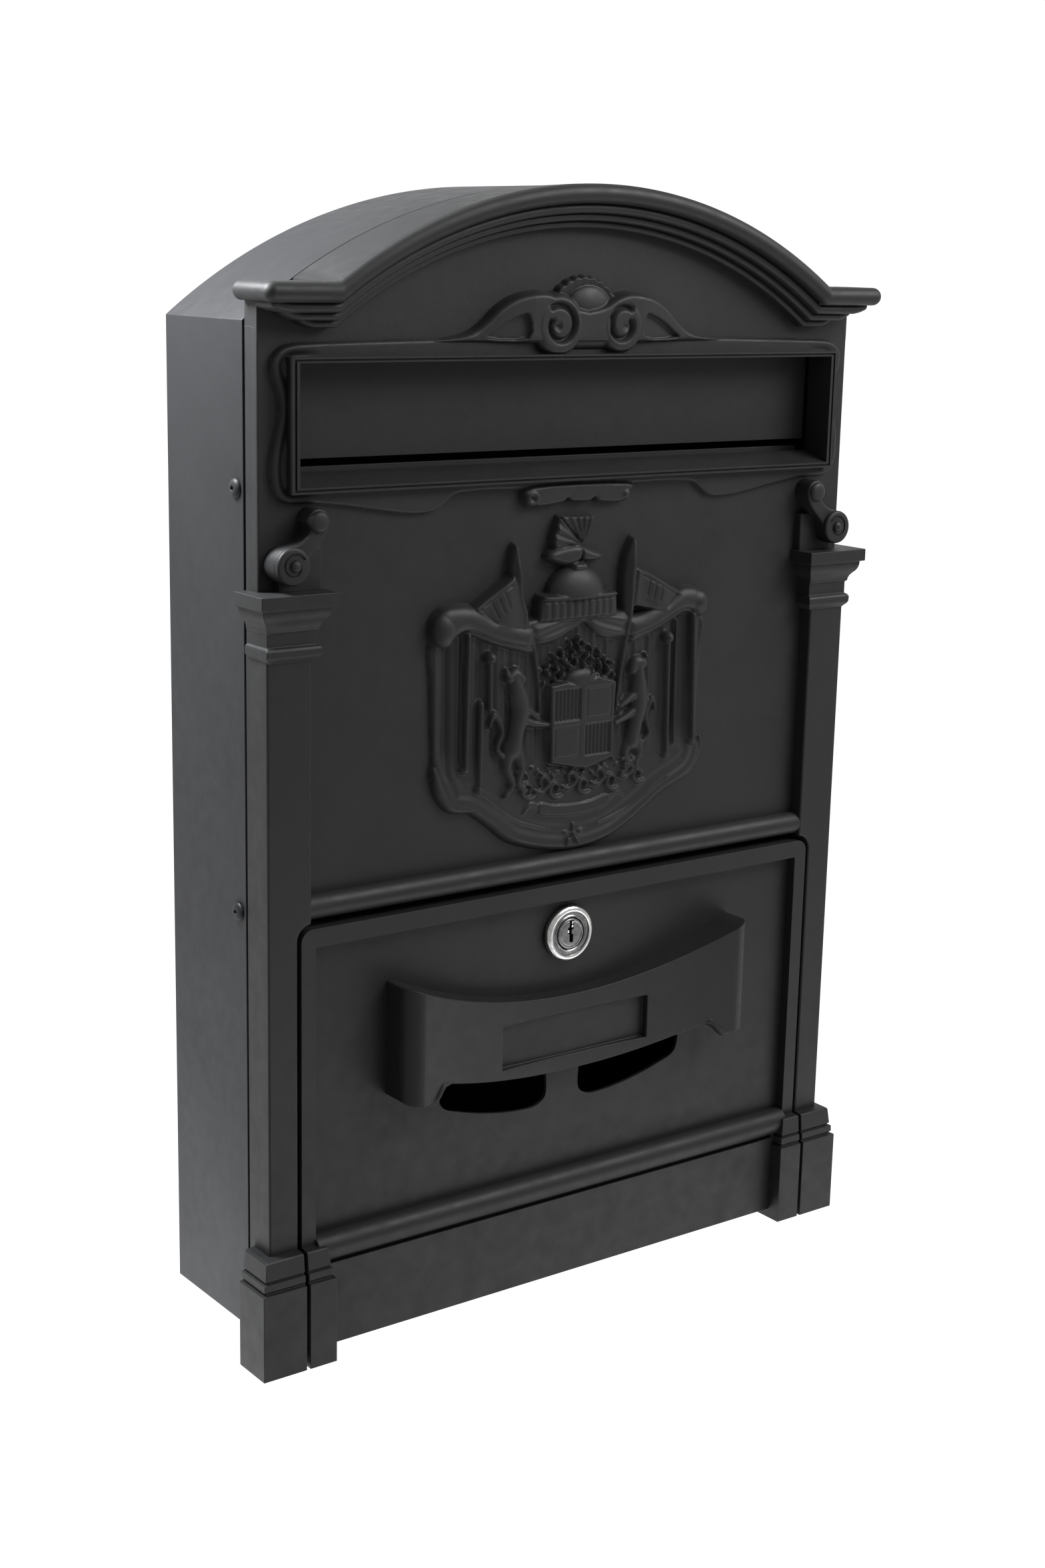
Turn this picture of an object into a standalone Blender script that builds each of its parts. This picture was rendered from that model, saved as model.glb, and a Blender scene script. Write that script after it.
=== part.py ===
"""Wall letterbox: a cast aluminium front with an arched cornice on a folded sheet body.

Frame: metres, +Z up, the front faces -Y and the wall is the plane y = 0. The origin is the middle of the
back panel's outer face. Dimensions below are millimetres, and heights are measured from the plinth's foot.
"""

import math

import bmesh
import bpy
from mathutils import Matrix, Vector

MM = 0.001
ORIGIN_HEIGHT = 205.0  # of the frame's origin above the plinth's foot
GAP = 0.3  # between touching pieces

# Body of folded sheet
SHELL_HALF = 130.5
SHELL_SPRING = 363.6  # where the straight sides meet the arch
SHELL_CROWN = 409.6
SHELL_FOOT = 11.4
SHELL_FRONT = -52.2
SHEET = 1.0
FLANGE = 10.0

# Planes of the casting, as y
FACE = -61.0
RELIEF_FRONT = -66.7  # pilasters, door border and slot lip
CORNICE_FRONT = -76.0
CAST_WALL = 4.0
RIM_BACK = -52.5
FLANGE_BACK = -42.0

# Collection door
OPENING_HALF = 118.7
OPENING_TOP = 162.0
DOOR_HALF = 117.3
DOOR_TOP = 160.2
DOOR_FOOT = 3.8
DOOR_BACK = -55.2
PANEL_FRONT = -62.4
PANEL_BACK = -59.0
BORDER = 5.8
CORNER = 4.5
HINGE_Y = -66.0
HINGE_HEIGHT = 3.4
HINGE_PIN_R = 2.0

# Letter slot and its flap
SLOT_HALF = 117.5
SLOT_LOW, SLOT_HIGH = 310.4, 350.4
SLOT_BACK = -54.3
SILL_RISE = 4.9
LIP_HALF = 120.4
LIP_LOW, LIP_HIGH = 308.3, 352.3
FLAP_HALF = 116.6
FLAP_FOOT = 318.5
FLAP_FRONT = -53.4
FLAP_PIN_HEIGHT = 357.5
FLAP_PIN_Y = -53.6
FLAP_PIN_R = 1.6
KNUCKLE_R = 2.9
KNUCKLE_HALF = 96.4
BRACKET_X = (97.0, 114.5)  # its ear is at the far end
BRACKET_SHEET = 1.2
BRACKET_TOP = 369.5
SCREW_X = {"inner": 100.6, "outer": 108.0}
SCREW_HEIGHT = 365.3

# Lock
LOCK_HEIGHT = 139.8
LOCK_RING_R = 10.75
LOCK_BODY_R = 9.2
LOCK_PLUG_R = 6.0
LOCK_BACK = -53.0
CAM_FRONT = -52.4
CAM_THICK = 2.0

# Fasteners
RIVET_Y = -47.5
RIVET_HEIGHTS = {"upper": 309.3, "lower": 164.7}
RIVET_SHANK_R = 1.7
SIDES = {"left": -1, "right": 1}

COLOURS = {
    "cast_front": ((0.020, 0.021, 0.023), 0.62, 0.0),
    "body_sheet": ((0.030, 0.032, 0.036), 0.55, 0.0),
    "flap_sheet": ((0.018, 0.019, 0.021), 0.6, 0.0),
    "bright_steel": ((0.62, 0.62, 0.60), 0.25, 1.0),
    "zinc_steel": ((0.45, 0.46, 0.46), 0.4, 1.0),
}


# ---------- scene ----------


def clear_scene():
    for obj in list(bpy.data.objects):
        bpy.data.objects.remove(obj, do_unlink=True)


def new_collection(name, hidden):
    found = bpy.data.collections.new(name)
    bpy.context.scene.collection.children.link(found)
    found.hide_render = hidden
    return found


def material(slot):
    found = bpy.data.materials.get(slot)
    if found:
        return found
    colour, roughness, metallic = COLOURS[slot]
    found = bpy.data.materials.new(slot)
    found.use_nodes = True
    shader = found.node_tree.nodes["Principled BSDF"]
    shader.inputs["Base Color"].default_value = (*colour, 1.0)
    shader.inputs["Roughness"].default_value = roughness
    shader.inputs["Metallic"].default_value = metallic
    return found


def empty(name, at, parent=None):
    found = bpy.data.objects.new(name, None)
    found.empty_display_size = 0.01
    found.location = at
    found.parent = parent
    PARTS.objects.link(found)
    return found


clear_scene()
PARTS = new_collection("wall_letterbox", False)
CUTTERS = new_collection("cutters", True)
FOOT = empty("plinth_foot", (0, 0, -ORIGIN_HEIGHT * MM))


# ---------- shapes; each returns a cutter until finish() makes it a part ----------


def mesh_object(name, bm):
    """A bmesh in millimetres, above the plinth's foot, as an object in the cutters' collection."""
    bmesh.ops.recalc_face_normals(bm, faces=bm.faces)
    bmesh.ops.scale(bm, vec=(MM, MM, MM), verts=bm.verts)
    mesh = bpy.data.meshes.new(name)
    bm.to_mesh(mesh)
    bm.free()
    obj = bpy.data.objects.new(name, mesh)
    CUTTERS.objects.link(obj)
    obj.parent = FOOT
    obj.hide_render = True
    obj.display_type = "WIRE"
    return obj


def box(name, x, y, z):
    """A block between two x, two y and two z values."""
    bm = bmesh.new()
    bmesh.ops.create_cube(bm, size=1.0)
    low = Vector((min(x), min(y), min(z)))
    high = Vector((max(x), max(y), max(z)))
    bmesh.ops.transform(bm, matrix=Matrix.Diagonal((*(high - low), 1.0)), verts=bm.verts)
    bmesh.ops.translate(bm, vec=(low + high) / 2, verts=bm.verts)
    return mesh_object(name, bm)


def rod(name, axis, centre, radius, start, end, segments=24):
    """A cylinder along X or Y. The centre holds its two other coordinates."""
    bm = bmesh.new()
    bmesh.ops.create_cone(
        bm, cap_ends=True, segments=segments, radius1=radius, radius2=radius, depth=abs(end - start)
    )
    middle = (start + end) / 2
    if axis == "X":
        turn = Matrix.Rotation(math.pi / 2, 4, "Y")
        place = Vector((middle, centre[0], centre[1]))
    else:
        turn = Matrix.Rotation(math.pi / 2, 4, "X")
        place = Vector((centre[0], middle, centre[1]))
    bmesh.ops.transform(bm, matrix=Matrix.Translation(place) @ turn, verts=bm.verts)
    return mesh_object(name, bm)


def turned(name, axis, centre, profile, segments=32):
    """A solid of revolution about X or Y. The profile is (radius, position along the axis)."""
    bm = bmesh.new()
    points = [bm.verts.new((radius, 0, along)) for radius, along in profile]
    edges = [bm.edges.new(pair) for pair in zip(points, points[1:])]
    if profile[0][0] > 0:
        edges.append(bm.edges.new((points[-1], points[0])))
    bmesh.ops.spin(
        bm, geom=[*points, *edges], cent=(0, 0, 0), axis=(0, 0, 1), angle=2 * math.pi, steps=segments,
        use_merge=True,
    )
    bmesh.ops.remove_doubles(bm, verts=bm.verts, dist=0.001)
    if axis == "X":
        turn = Matrix(((0, 0, 1), (1, 0, 0), (0, 1, 0))).to_4x4()
        place = Vector((0, centre[0], centre[1]))
    else:
        turn = Matrix(((0, 1, 0), (0, 0, 1), (1, 0, 0))).to_4x4()
        place = Vector((centre[0], 0, centre[1]))
    bmesh.ops.transform(bm, matrix=Matrix.Translation(place) @ turn, verts=bm.verts)
    return mesh_object(name, bm)


def prism(name, outlines, y_front, y_back):
    """Flat outlines of (x, height) points, the later ones holes, with a thickness along Y."""
    curve = bpy.data.curves.new(name, "CURVE")
    curve.dimensions = "2D"
    curve.fill_mode = "BOTH"
    curve.extrude = abs(y_back - y_front) / 2 * MM
    for outline in outlines:
        spline = curve.splines.new("POLY")
        spline.points.add(len(outline) - 1)
        for point, (x, z) in zip(spline.points, outline):
            point.co = (x * MM, z * MM, 0, 1)
        spline.use_cyclic_u = True
    shape = bpy.data.objects.new(name, curve)
    bpy.context.scene.collection.objects.link(shape)
    bpy.context.view_layer.update()
    flat = shape.evaluated_get(bpy.context.evaluated_depsgraph_get())
    mesh = bpy.data.meshes.new_from_object(flat)
    bpy.data.objects.remove(shape)
    bpy.data.curves.remove(curve)
    bm = bmesh.new()
    bm.from_mesh(mesh)
    bpy.data.meshes.remove(mesh)
    bmesh.ops.remove_doubles(bm, verts=bm.verts, dist=1e-6)
    bmesh.ops.scale(bm, vec=(1 / MM, 1 / MM, 1 / MM), verts=bm.verts)
    stand = Matrix.Translation((0, (y_front + y_back) / 2, 0)) @ Matrix.Rotation(math.pi / 2, 4, "X")
    bmesh.ops.transform(bm, matrix=stand, verts=bm.verts)
    return mesh_object(name, bm)


def loft(name, rings):
    """A solid through rings of equal count, with its first and last ring closed."""
    bm = bmesh.new()
    loops = [[bm.verts.new(point) for point in ring] for ring in rings]
    for low, high in zip(loops, loops[1:]):
        for i in range(len(low)):
            j = (i + 1) % len(low)
            bm.faces.new((low[i], low[j], high[j], high[i]))
    bm.faces.new(reversed(loops[0]))
    bm.faces.new(loops[-1])
    return mesh_object(name, bm)


def combine(target, operation, pieces):
    for piece in pieces:
        modifier = target.modifiers.new(piece.name, "BOOLEAN")
        modifier.operation = operation
        modifier.object = piece
        modifier.solver = "EXACT"


def finish(obj, slot, pivot=None, joint_empty=None):
    """Makes a shape a part, with its material, and with its origin on the joint's axis if it moves."""
    CUTTERS.objects.unlink(obj)
    PARTS.objects.link(obj)
    obj.hide_render = False
    obj.display_type = "TEXTURED"
    obj.data.materials.append(material(slot))
    if pivot:
        shift = Vector(pivot) * MM
        obj.data.transform(Matrix.Translation(-shift))
        obj.parent = joint_empty
    obj.data.shade_smooth()
    obj.data.set_sharp_from_angle(angle=math.radians(35))
    return obj


# ---------- outlines ----------


def arch_outline(inset, foot, steps=20):
    """The body's arched outline drawn in by inset, from its foot on the left over the top to the right."""
    rise = SHELL_CROWN - SHELL_SPRING
    radius = (SHELL_HALF**2 + rise**2) / (2 * rise)
    centre = SHELL_CROWN - radius
    radius -= inset
    half = SHELL_HALF - inset
    reach = math.asin(half / radius)
    points = [(-half, foot)]
    for i in range(steps + 1):
        angle = -reach + 2 * reach * i / steps
        points.append((radius * math.sin(angle), centre + radius * math.cos(angle)))
    return [*points, (half, foot)]


def arch_band(outer, inner, foot):
    """The strip between two insets, open at the foot."""
    return [*arch_outline(outer, foot), *reversed(arch_outline(inner, foot))]


def rounded_top(half, foot, top, radius, steps=5):
    """A rectangle whose two upper corners are rounded."""
    points = [(-half, foot)]
    for sign, start in ((-1, math.pi), (1, math.pi / 2)):
        for i in range(steps + 1):
            angle = start - math.pi / 2 * i / steps
            centre = (sign * (half - radius), top - radius)
            points.append((centre[0] + radius * math.cos(angle), centre[1] + radius * math.sin(angle)))
    return [*points, (half, foot)]


def block_rings(levels, x_low, x_high, y_back):
    """Rectangles for a stepped block: each level is (height, spread at the sides, y of its front)."""
    return [
        [
            (x_low - spread, y_front, height),
            (x_high + spread, y_front, height),
            (x_high + spread, y_back, height),
            (x_low - spread, y_back, height),
        ]
        for height, spread, y_front in levels
    ]


def mirrored(x, side):
    return sorted(side * value for value in x)


# ---------- front casting ----------

PILASTER_X = (113.2, 129.6)
PLINTH_LEVELS = (
    (0, 6.6, -72.7), (31, 6.6, -72.7), (31.6, 5.2, -71.4), (35, 5.2, -71.4), (35.6, 3.9, -70.2),
    (40, 3.9, -70.2), (42.5, 1.6, -68.1), (45.5, 0, -66.9),
)
CAPITAL_LEVELS = (
    (254, 0, -66.9), (255.3, 1.9, -68.6), (258.4, 1.9, -68.6), (259.2, 0.4, -67.2), (264, 0.4, -67.2),
    (265, 2.0, -68.7), (269, 3.4, -70.1), (272.3, 4.2, -71.2), (272.7, 5.9, -72.7), (276.5, 5.9, -72.7),
)


def cornice():
    """The arched moulding with its level ends, swept as one section along its path."""
    foot_x, foot_height, end_x, crown, thick = 108.0, 376.2, 135.0, 410.0, 13.5
    rise = crown - foot_height
    radius = (foot_x**2 + rise**2) / (2 * rise)
    reach = math.asin(foot_x / radius)
    path = [(-end_x, foot_height, 0.0, 7.0), (-foot_x - 3, foot_height, 0.0, 10.0)]
    steps = 20
    for i in range(steps + 1):
        angle = -reach + 2 * reach * i / steps
        height = crown - radius + radius * math.cos(angle)
        path.append((radius * math.sin(angle), height, angle, thick))
    path += [(foot_x + 3, foot_height, 0.0, 10.0), (end_x, foot_height, 0.0, 7.0)]
    rings = []
    for x, height, angle, depth in path:
        section = ((0, -58.0), (0, -74.5), (-1.5, CORNICE_FRONT), (-5.0, CORNICE_FRONT),
                   (-6.5, -74.5), (-depth, -64.0), (-depth, -58.0))
        lean = angle * 0.85
        rings.append([(x + down * math.sin(lean), y, height + down * math.cos(lean)) for down, y in section])
    return loft("cornice", rings)


def cartouche():
    """The raised border round the slot, which rises to a scrolled crown above it."""
    half = [
        (24, 299.5), (24.7, 305.5), (53, 305.4), (61.9, 299.7), (79.3, 300.1), (109, 304.6), (121, 305.3),
        (126.1, 318.4), (122.9, 335.1), (126, 348.7), (120.7, 355.8), (56, 357.8), (46.2, 359.3),
        (38.5, 366.5), (31.6, 372), (20.7, 373.8), (11.8, 375.5), (0, 378.8),
    ]
    outline = [*half, *((-x, z) for x, z in reversed(half[:-1]))]
    return prism("cartouche", [outline], FACE - 2.2, FACE + 0.8)


def crest():
    """A generic heraldic relief: mantle, helm and shield."""
    mantle = [
        (-9, 174), (-32, 181), (-52, 196), (-57, 212), (-53, 246), (-62, 262), (-55, 270), (-42, 273),
        (-18, 268), (-14, 279), (-10, 296), (10, 296), (14, 279), (18, 268), (42, 273), (55, 270),
        (62, 262), (53, 246), (57, 212), (52, 196), (32, 181), (9, 174),
    ]
    shield = [(0, 196), (-12, 202), (-16, 212), (-16, 237), (16, 237), (16, 212), (12, 202)]
    plate = prism("mantle", [mantle], FACE - 3.2, FACE + 0.9)
    raised = prism("shield", [shield], FACE - 5.2, FACE + 0.7)
    helm = rod("helm", "Y", (0, 275), 10.5, FACE - 6.0, FACE + 0.6)
    return [plate, raised, helm]


def scroll(side):
    """The S-shaped bracket that stands on a capital."""
    low = rod("scroll_low", "Y", (side * 121.3, 286.2), 9.0, -68.2, FACE + 1)
    high = rod("scroll_high", "Y", (side * 113.6, 298.8), 4.8, -68.0, FACE + 1, 16)
    outline = [(side * x, z) for x, z in
               ((112.2, 277), (129.2, 277), (129.2, 303.4), (116, 303.4), (110.6, 297))]
    back = prism("scroll_back", [outline], -64.0, FACE + 0.7)
    return [low, high, back]


def front_additions():
    found = [cornice(), cartouche(), *crest()]
    found.append(rod("lintel_bead", "X", (-62.2, 167), 4.4, -114, 114, 20))
    for side in SIDES.values():
        found.append(box("pilaster", mirrored(PILASTER_X, side), (RELIEF_FRONT, FACE + 1.4), (33, 257)))
        plinth = block_rings(PLINTH_LEVELS, *mirrored((112.9, 129.6), side), -52.9)
        capital = block_rings(CAPITAL_LEVELS, *mirrored((112.3, 129.6), side), -52.9)
        found += [loft("plinth", plinth), loft("capital", capital), *scroll(side)]
        found.append(box("hanging_scroll", (side * 0.5, side * 22), (FACE - 3.4, FACE + 1), (300.2, 306)))
        hinge = (HINGE_Y, HINGE_HEIGHT)
        found.append(rod("hinge_lug", "X", hinge, 4.7, side * 119.2, side * 127))
    return found


def front_inside():
    """What is added behind the face once its back is hollowed out."""
    found = [prism("flange", [arch_band(1.0 + GAP, 3.7, 16)], -56.5, FLANGE_BACK)]
    found.append(box("slot_frame", (-LIP_HALF, LIP_HALF), (RELIEF_FRONT, SLOT_BACK), (LIP_LOW, LIP_HIGH)))
    for side in SIDES.values():
        lip = mirrored((114.4, 121.5), side)
        found.append(box("door_stop", lip, (DOOR_BACK + GAP, RIM_BACK), (20, OPENING_TOP - 4.4)))
        web = mirrored((OPENING_HALF + 0.02, 121.4), side)
        found.append(box("leg_web", web, (-57.6, RIM_BACK + 0.1), (6, OPENING_TOP + 2)))
    top = (OPENING_TOP - 4.2, OPENING_TOP + 3.1)
    found.append(box("top_stop", (-120, 120), (DOOR_BACK + GAP, RIM_BACK - 0.2), top))
    found.append(box("top_web", (-119.9, 119.9), (-57.7, RIM_BACK - 0.1), (OPENING_TOP + 0.02, top[1] - 0.1)))
    return found


def slot_tunnel():
    """The letter passage, whose sill climbs towards the flap."""
    rings = []
    for x in (-SLOT_HALF, SLOT_HALF):
        front, back = RELIEF_FRONT - 1, SLOT_BACK + 1
        rings.append([
            (x, front, SLOT_LOW - 0.4), (x, back, SLOT_LOW + SILL_RISE + 0.4),
            (x, back, SLOT_HIGH), (x, front, SLOT_HIGH),
        ])
    return loft("slot_tunnel", rings)


def front_holes():
    found = [slot_tunnel()]
    for side in SIDES.values():
        pin_hole = (HINGE_Y, HINGE_HEIGHT)
        found.append(rod("pin_hole", "X", pin_hole, HINGE_PIN_R + GAP, side * 110, side * 125.3))
        for height in RIVET_HEIGHTS.values():
            hole = (RIVET_Y, height)
            found.append(rod("rivet_hole", "X", hole, RIVET_SHANK_R + GAP, side * 122, side * 134, 16))
        for x in SCREW_X.values():
            found.append(rod("screw_hole", "Y", (side * x, SCREW_HEIGHT), 1.5, -59.6, -54, 12))
    return found


def front_casting():
    casting = prism("front_casting", [arch_outline(GAP, 0)], FACE, RIM_BACK)
    combine(casting, "UNION", front_additions())
    pocket = prism("pocket", [arch_outline(GAP + 3.5, -9)], FACE + CAST_WALL, FLANGE_BACK + 4)
    opening = rounded_top(OPENING_HALF, -6, OPENING_TOP, CORNER + 1)
    combine(casting, "DIFFERENCE", [pocket, prism("door_opening", [opening], -90, -40)])
    combine(casting, "UNION", front_inside())
    combine(casting, "DIFFERENCE", front_holes())
    return finish(casting, "cast_front")


# ---------- sheet body ----------


def body_shell():
    shell = prism("body_shell", [arch_band(0, SHEET, SHELL_FOOT)], SHELL_FRONT, 0)
    holes = []
    for side in SIDES.values():
        for height in RIVET_HEIGHTS.values():
            hole = (RIVET_Y, height)
            holes.append(rod("shell_hole", "X", hole, RIVET_SHANK_R + GAP, side * 126, side * 134, 16))
    combine(shell, "DIFFERENCE", holes)
    return finish(shell, "body_sheet")


WALL_HOLES = ((-90, 80), (90, 80), (-90, 335), (90, 335))
WALL_HOLE_R = 3.25


def back_panel():
    inset = SHEET + GAP
    foot = SHELL_FOOT + SHEET + GAP
    panel = prism("back_panel", [arch_outline(inset, foot)], -FLANGE, 0)
    inside = prism("back_tray", [arch_outline(inset + SHEET, foot + SHEET)], -FLANGE - 2, -SHEET)
    combine(panel, "DIFFERENCE", [inside])
    combine(panel, "DIFFERENCE", [rod("wall_hole", "Y", place, WALL_HOLE_R, -5, 5) for place in WALL_HOLES])
    return finish(panel, "body_sheet")


def bottom_panel():
    half = SHELL_HALF - SHEET - GAP
    top = SHELL_FOOT + SHEET
    panel = box("bottom_panel", (-half, half), (-50.6, -GAP), (SHELL_FOOT, top))
    folds = [box("front_fold", (-113, 113), (-50.6, -49.6), (SHELL_FOOT + 0.2, top + 8))]
    for side in SIDES.values():
        folds.append(box("side_fold", mirrored((half - SHEET, half - 0.02), side), (-40, -11), (top - 0.4, top + 9)))
    combine(panel, "UNION", folds)
    return finish(panel, "body_sheet")


def rivet(side_name, level):
    side, height = SIDES[side_name], RIVET_HEIGHTS[level]
    outside = SHELL_HALF + GAP
    inside = SHELL_HALF - 3.7 - GAP
    profile = [
        (0, outside + 0.35), (0.85, outside + 0.35), (0.95, outside + 1.35), (1.9, outside + 1.25),
        (2.9, outside + 0.75), (3.3, outside), (RIVET_SHANK_R, outside), (RIVET_SHANK_R, inside),
        (2.5, inside), (2.3, inside - 2.2), (0, inside - 2.6),
    ]
    profile = [(radius, side * along) for radius, along in profile]
    name = f"side_rivet_{level}_{side_name}"
    return finish(turned(name, "X", (RIVET_Y, height), profile, 20), "body_sheet")


# ---------- slot flap ----------


def slot_flap(hinge):
    flap = box("slot_flap", (-FLAP_HALF, FLAP_HALF), (FLAP_FRONT, FLAP_FRONT + SHEET),
               (FLAP_FOOT, FLAP_PIN_HEIGHT))
    roll = (FLAP_PIN_Y, FLAP_PIN_HEIGHT)
    knuckle = rod("knuckle", "X", roll, KNUCKLE_R, -KNUCKLE_HALF, KNUCKLE_HALF)
    trims = [rod("knuckle_bore", "X", roll, FLAP_PIN_R + GAP, -KNUCKLE_HALF - 9, KNUCKLE_HALF + 9)]
    for side in SIDES.values():
        trims.append(box("ear_room", (side * KNUCKLE_HALF, side * 120), (-60, -40), (FLAP_PIN_HEIGHT - 4.9, 366)))
    combine(flap, "UNION", [knuckle])
    combine(flap, "DIFFERENCE", trims)
    return finish(flap, "flap_sheet", (0, *roll), hinge)


def flap_bracket(side_name):
    side = SIDES[side_name]
    plate = FACE + CAST_WALL + GAP
    foot = box(f"flap_bracket_{side_name}", mirrored(BRACKET_X, side), (plate, plate + BRACKET_SHEET),
               (353.2, BRACKET_TOP))
    ear_x = (BRACKET_X[1] - BRACKET_SHEET, BRACKET_X[1] - 0.02)
    ear = box("ear", mirrored(ear_x, side), (plate + 0.02, FLAP_PIN_Y + 3.2),
              (FLAP_PIN_HEIGHT - 3.2, FLAP_PIN_HEIGHT + 3.6))
    combine(foot, "UNION", [ear])
    pin = (FLAP_PIN_Y, FLAP_PIN_HEIGHT)
    holes = [rod("ear_hole", "X", pin, FLAP_PIN_R + GAP, side * 110, side * 118)]
    for x in SCREW_X.values():
        holes.append(rod("foot_hole", "Y", (side * x, SCREW_HEIGHT), 1.7, -60, -50, 16))
    combine(foot, "DIFFERENCE", holes)
    return finish(foot, "zinc_steel")


def bracket_screw(side_name, place):
    x = SIDES[side_name] * SCREW_X[place]
    seat = FACE + CAST_WALL + GAP + BRACKET_SHEET + GAP
    profile = [(0, seat - 3.9), (1.2, seat - 3.5), (1.2, seat), (2.7, seat), (2.6, seat + 1.1), (1.6, seat + 1.9),
               (0, seat + 2.0)]
    screw = turned(f"bracket_screw_{place}_{side_name}", "Y", (x, SCREW_HEIGHT), profile, 16)
    cross = []
    for wide, tall in ((1.7, 0.35), (0.35, 1.7)):
        cross.append(box("cross", (x - wide, x + wide), (seat + 1.0, seat + 4),
                         (SCREW_HEIGHT - tall, SCREW_HEIGHT + tall)))
    combine(screw, "DIFFERENCE", cross)
    return finish(screw, "zinc_steel")


def flap_pin():
    reach = BRACKET_X[1] + 2.6
    centre = (FLAP_PIN_Y, FLAP_PIN_HEIGHT)
    return finish(rod("flap_hinge_pin", "X", centre, FLAP_PIN_R, -reach, reach, 20), "zinc_steel")


def pin_clip(side_name):
    side = SIDES[side_name]
    start = BRACKET_X[1] + GAP
    bore = FLAP_PIN_R + GAP
    profile = [(bore, start), (bore, start + 1.6), (2.5, start + 1.6), (3.05, start + 0.7), (3.05, start)]
    profile = [(radius, side * along) for radius, along in profile]
    name = f"flap_pin_clip_{side_name}"
    return finish(turned(name, "X", (FLAP_PIN_Y, FLAP_PIN_HEIGHT), profile, 20), "zinc_steel")


# ---------- collection door ----------


def ribbon():
    """The draped ribbon on the door: its ends stand proud and its top edge sags to the middle."""
    rings = []
    half, steps = 80.0, 16
    for i in range(steps + 1):
        x = -half + 2 * half * i / steps
        reach = abs(x) / half
        top = 117.6 + 19.0 * reach**2.1
        front = -69.2 - 8.6 * reach**2.4
        rings.append([(x, front, 91.0), (x, PANEL_FRONT + 1.2, 91.0), (x, PANEL_FRONT + 1.2, top), (x, front, top)])
    return loft("ribbon", rings)


def view_slot(side):
    lower = ((10, 74.4), (15, 72.9), (26, 73.6), (38, 76.2), (48, 79.9), (53.4, 83.2))
    upper = ((55.3, 86.8), (53, 88.6), (30, 88.6), (10, 87.4), (7.7, 84), (7.7, 77.4))
    return prism("view_slot", [[(side * x, z) for x, z in (*lower, *upper)]], -90, -50)


def door_additions():
    found = [ribbon()]
    found.append(rod("foot_bead", "X", (-66.6, 39.6), 3.0, -107, 107, 16))
    found.append(box("foot_step", (-107.2, 107.2), (-68.6, -60), (31.8, 36.4)))
    for side in SIDES.values():
        block = block_rings(PLINTH_LEVELS, *mirrored((112.9, 129.6), side), -58.2)
        trimmed = loft("door_plinth", block)
        far = box("door_side", (side * DOOR_HALF, side * 150), (-90, -40), (-5, 60))
        combine(trimmed, "DIFFERENCE", [far])
        found.append(trimmed)
        lug = (HINGE_Y, HINGE_HEIGHT)
        found.append(rod("door_lug", "X", lug, 4.6, side * 109.2, side * (DOOR_HALF - 0.02)))
    return found


def door_cuts():
    found = [box("name_recess", (-34, 34), (-90, -67.6), (94, 111))]
    found.append(rod("lock_hole", "Y", (0, LOCK_HEIGHT), LOCK_BODY_R + GAP, -80, -50, 32))
    for side in SIDES.values():
        hinge = (HINGE_Y, HINGE_HEIGHT)
        found.append(rod("door_pin_hole", "X", hinge, HINGE_PIN_R + GAP, side * 110.4, side * 120))
        found.append(view_slot(side))
    return found


def collection_door(hinge):
    door = prism("collection_door", [rounded_top(DOOR_HALF, DOOR_FOOT, DOOR_TOP, CORNER)], RELIEF_FRONT, DOOR_BACK)
    recess_half = DOOR_HALF - BORDER
    front = box("front_recess", (-recess_half, recess_half), (-90, PANEL_FRONT), (45, DOOR_TOP - 6.7))
    back = box("back_recess", (-112.4, 112.4), (PANEL_BACK, -40), (13, DOOR_TOP - 5.2))
    combine(door, "DIFFERENCE", [front, back])
    combine(door, "UNION", door_additions())
    combine(door, "DIFFERENCE", door_cuts())
    return finish(door, "cast_front", (0, HINGE_Y, HINGE_HEIGHT), hinge)


def hinge_pin(side_name):
    side = SIDES[side_name]
    pin = rod(f"door_hinge_pin_{side_name}", "X", (HINGE_Y, HINGE_HEIGHT), HINGE_PIN_R, side * 110.8, side * 125)
    return finish(pin, "zinc_steel")


# ---------- cam lock ----------


def lock_barrel(hinge, pivot):
    seat = PANEL_FRONT - GAP
    bore = LOCK_PLUG_R + GAP
    profile = [
        (LOCK_RING_R, seat), (LOCK_RING_R, seat - 1.6), (LOCK_RING_R - 0.8, seat - 2.7), (8.6, seat - 3.0),
        (8.0, seat - 2.5), (7.0, seat - 2.5), (bore, seat - 2.9), (bore, LOCK_BACK), (LOCK_BODY_R, LOCK_BACK),
        (LOCK_BODY_R, seat),
    ]
    return finish(turned("lock_barrel", "Y", (0, LOCK_HEIGHT), profile), "bright_steel", pivot, hinge)


def lock_plug(pivot, spin):
    front = PANEL_FRONT - GAP - 2.9
    profile = [(0, front), (LOCK_PLUG_R - 0.5, front), (LOCK_PLUG_R, front + 0.5), (LOCK_PLUG_R, LOCK_BACK),
               (3.0, LOCK_BACK), (3.0, CAM_FRONT + CAM_THICK - 0.1), (0, CAM_FRONT + CAM_THICK - 0.1)]
    plug = turned("lock_plug", "Y", (0, LOCK_HEIGHT), profile)
    keyway = box("keyway", (-0.8, 0.8), (front - 2, front + 7), (LOCK_HEIGHT - 4.2, LOCK_HEIGHT + 3.4))
    ward = box("ward", (-1.7, -0.4), (front - 2, front + 6.8), (LOCK_HEIGHT - 1.2, LOCK_HEIGHT + 0.8))
    screw_hole = rod("cam_screw_hole", "Y", (0, LOCK_HEIGHT), 1.6, -56, -49, 16)
    combine(plug, "DIFFERENCE", [keyway, ward, screw_hole])
    return finish(plug, "bright_steel", pivot, spin)


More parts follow.
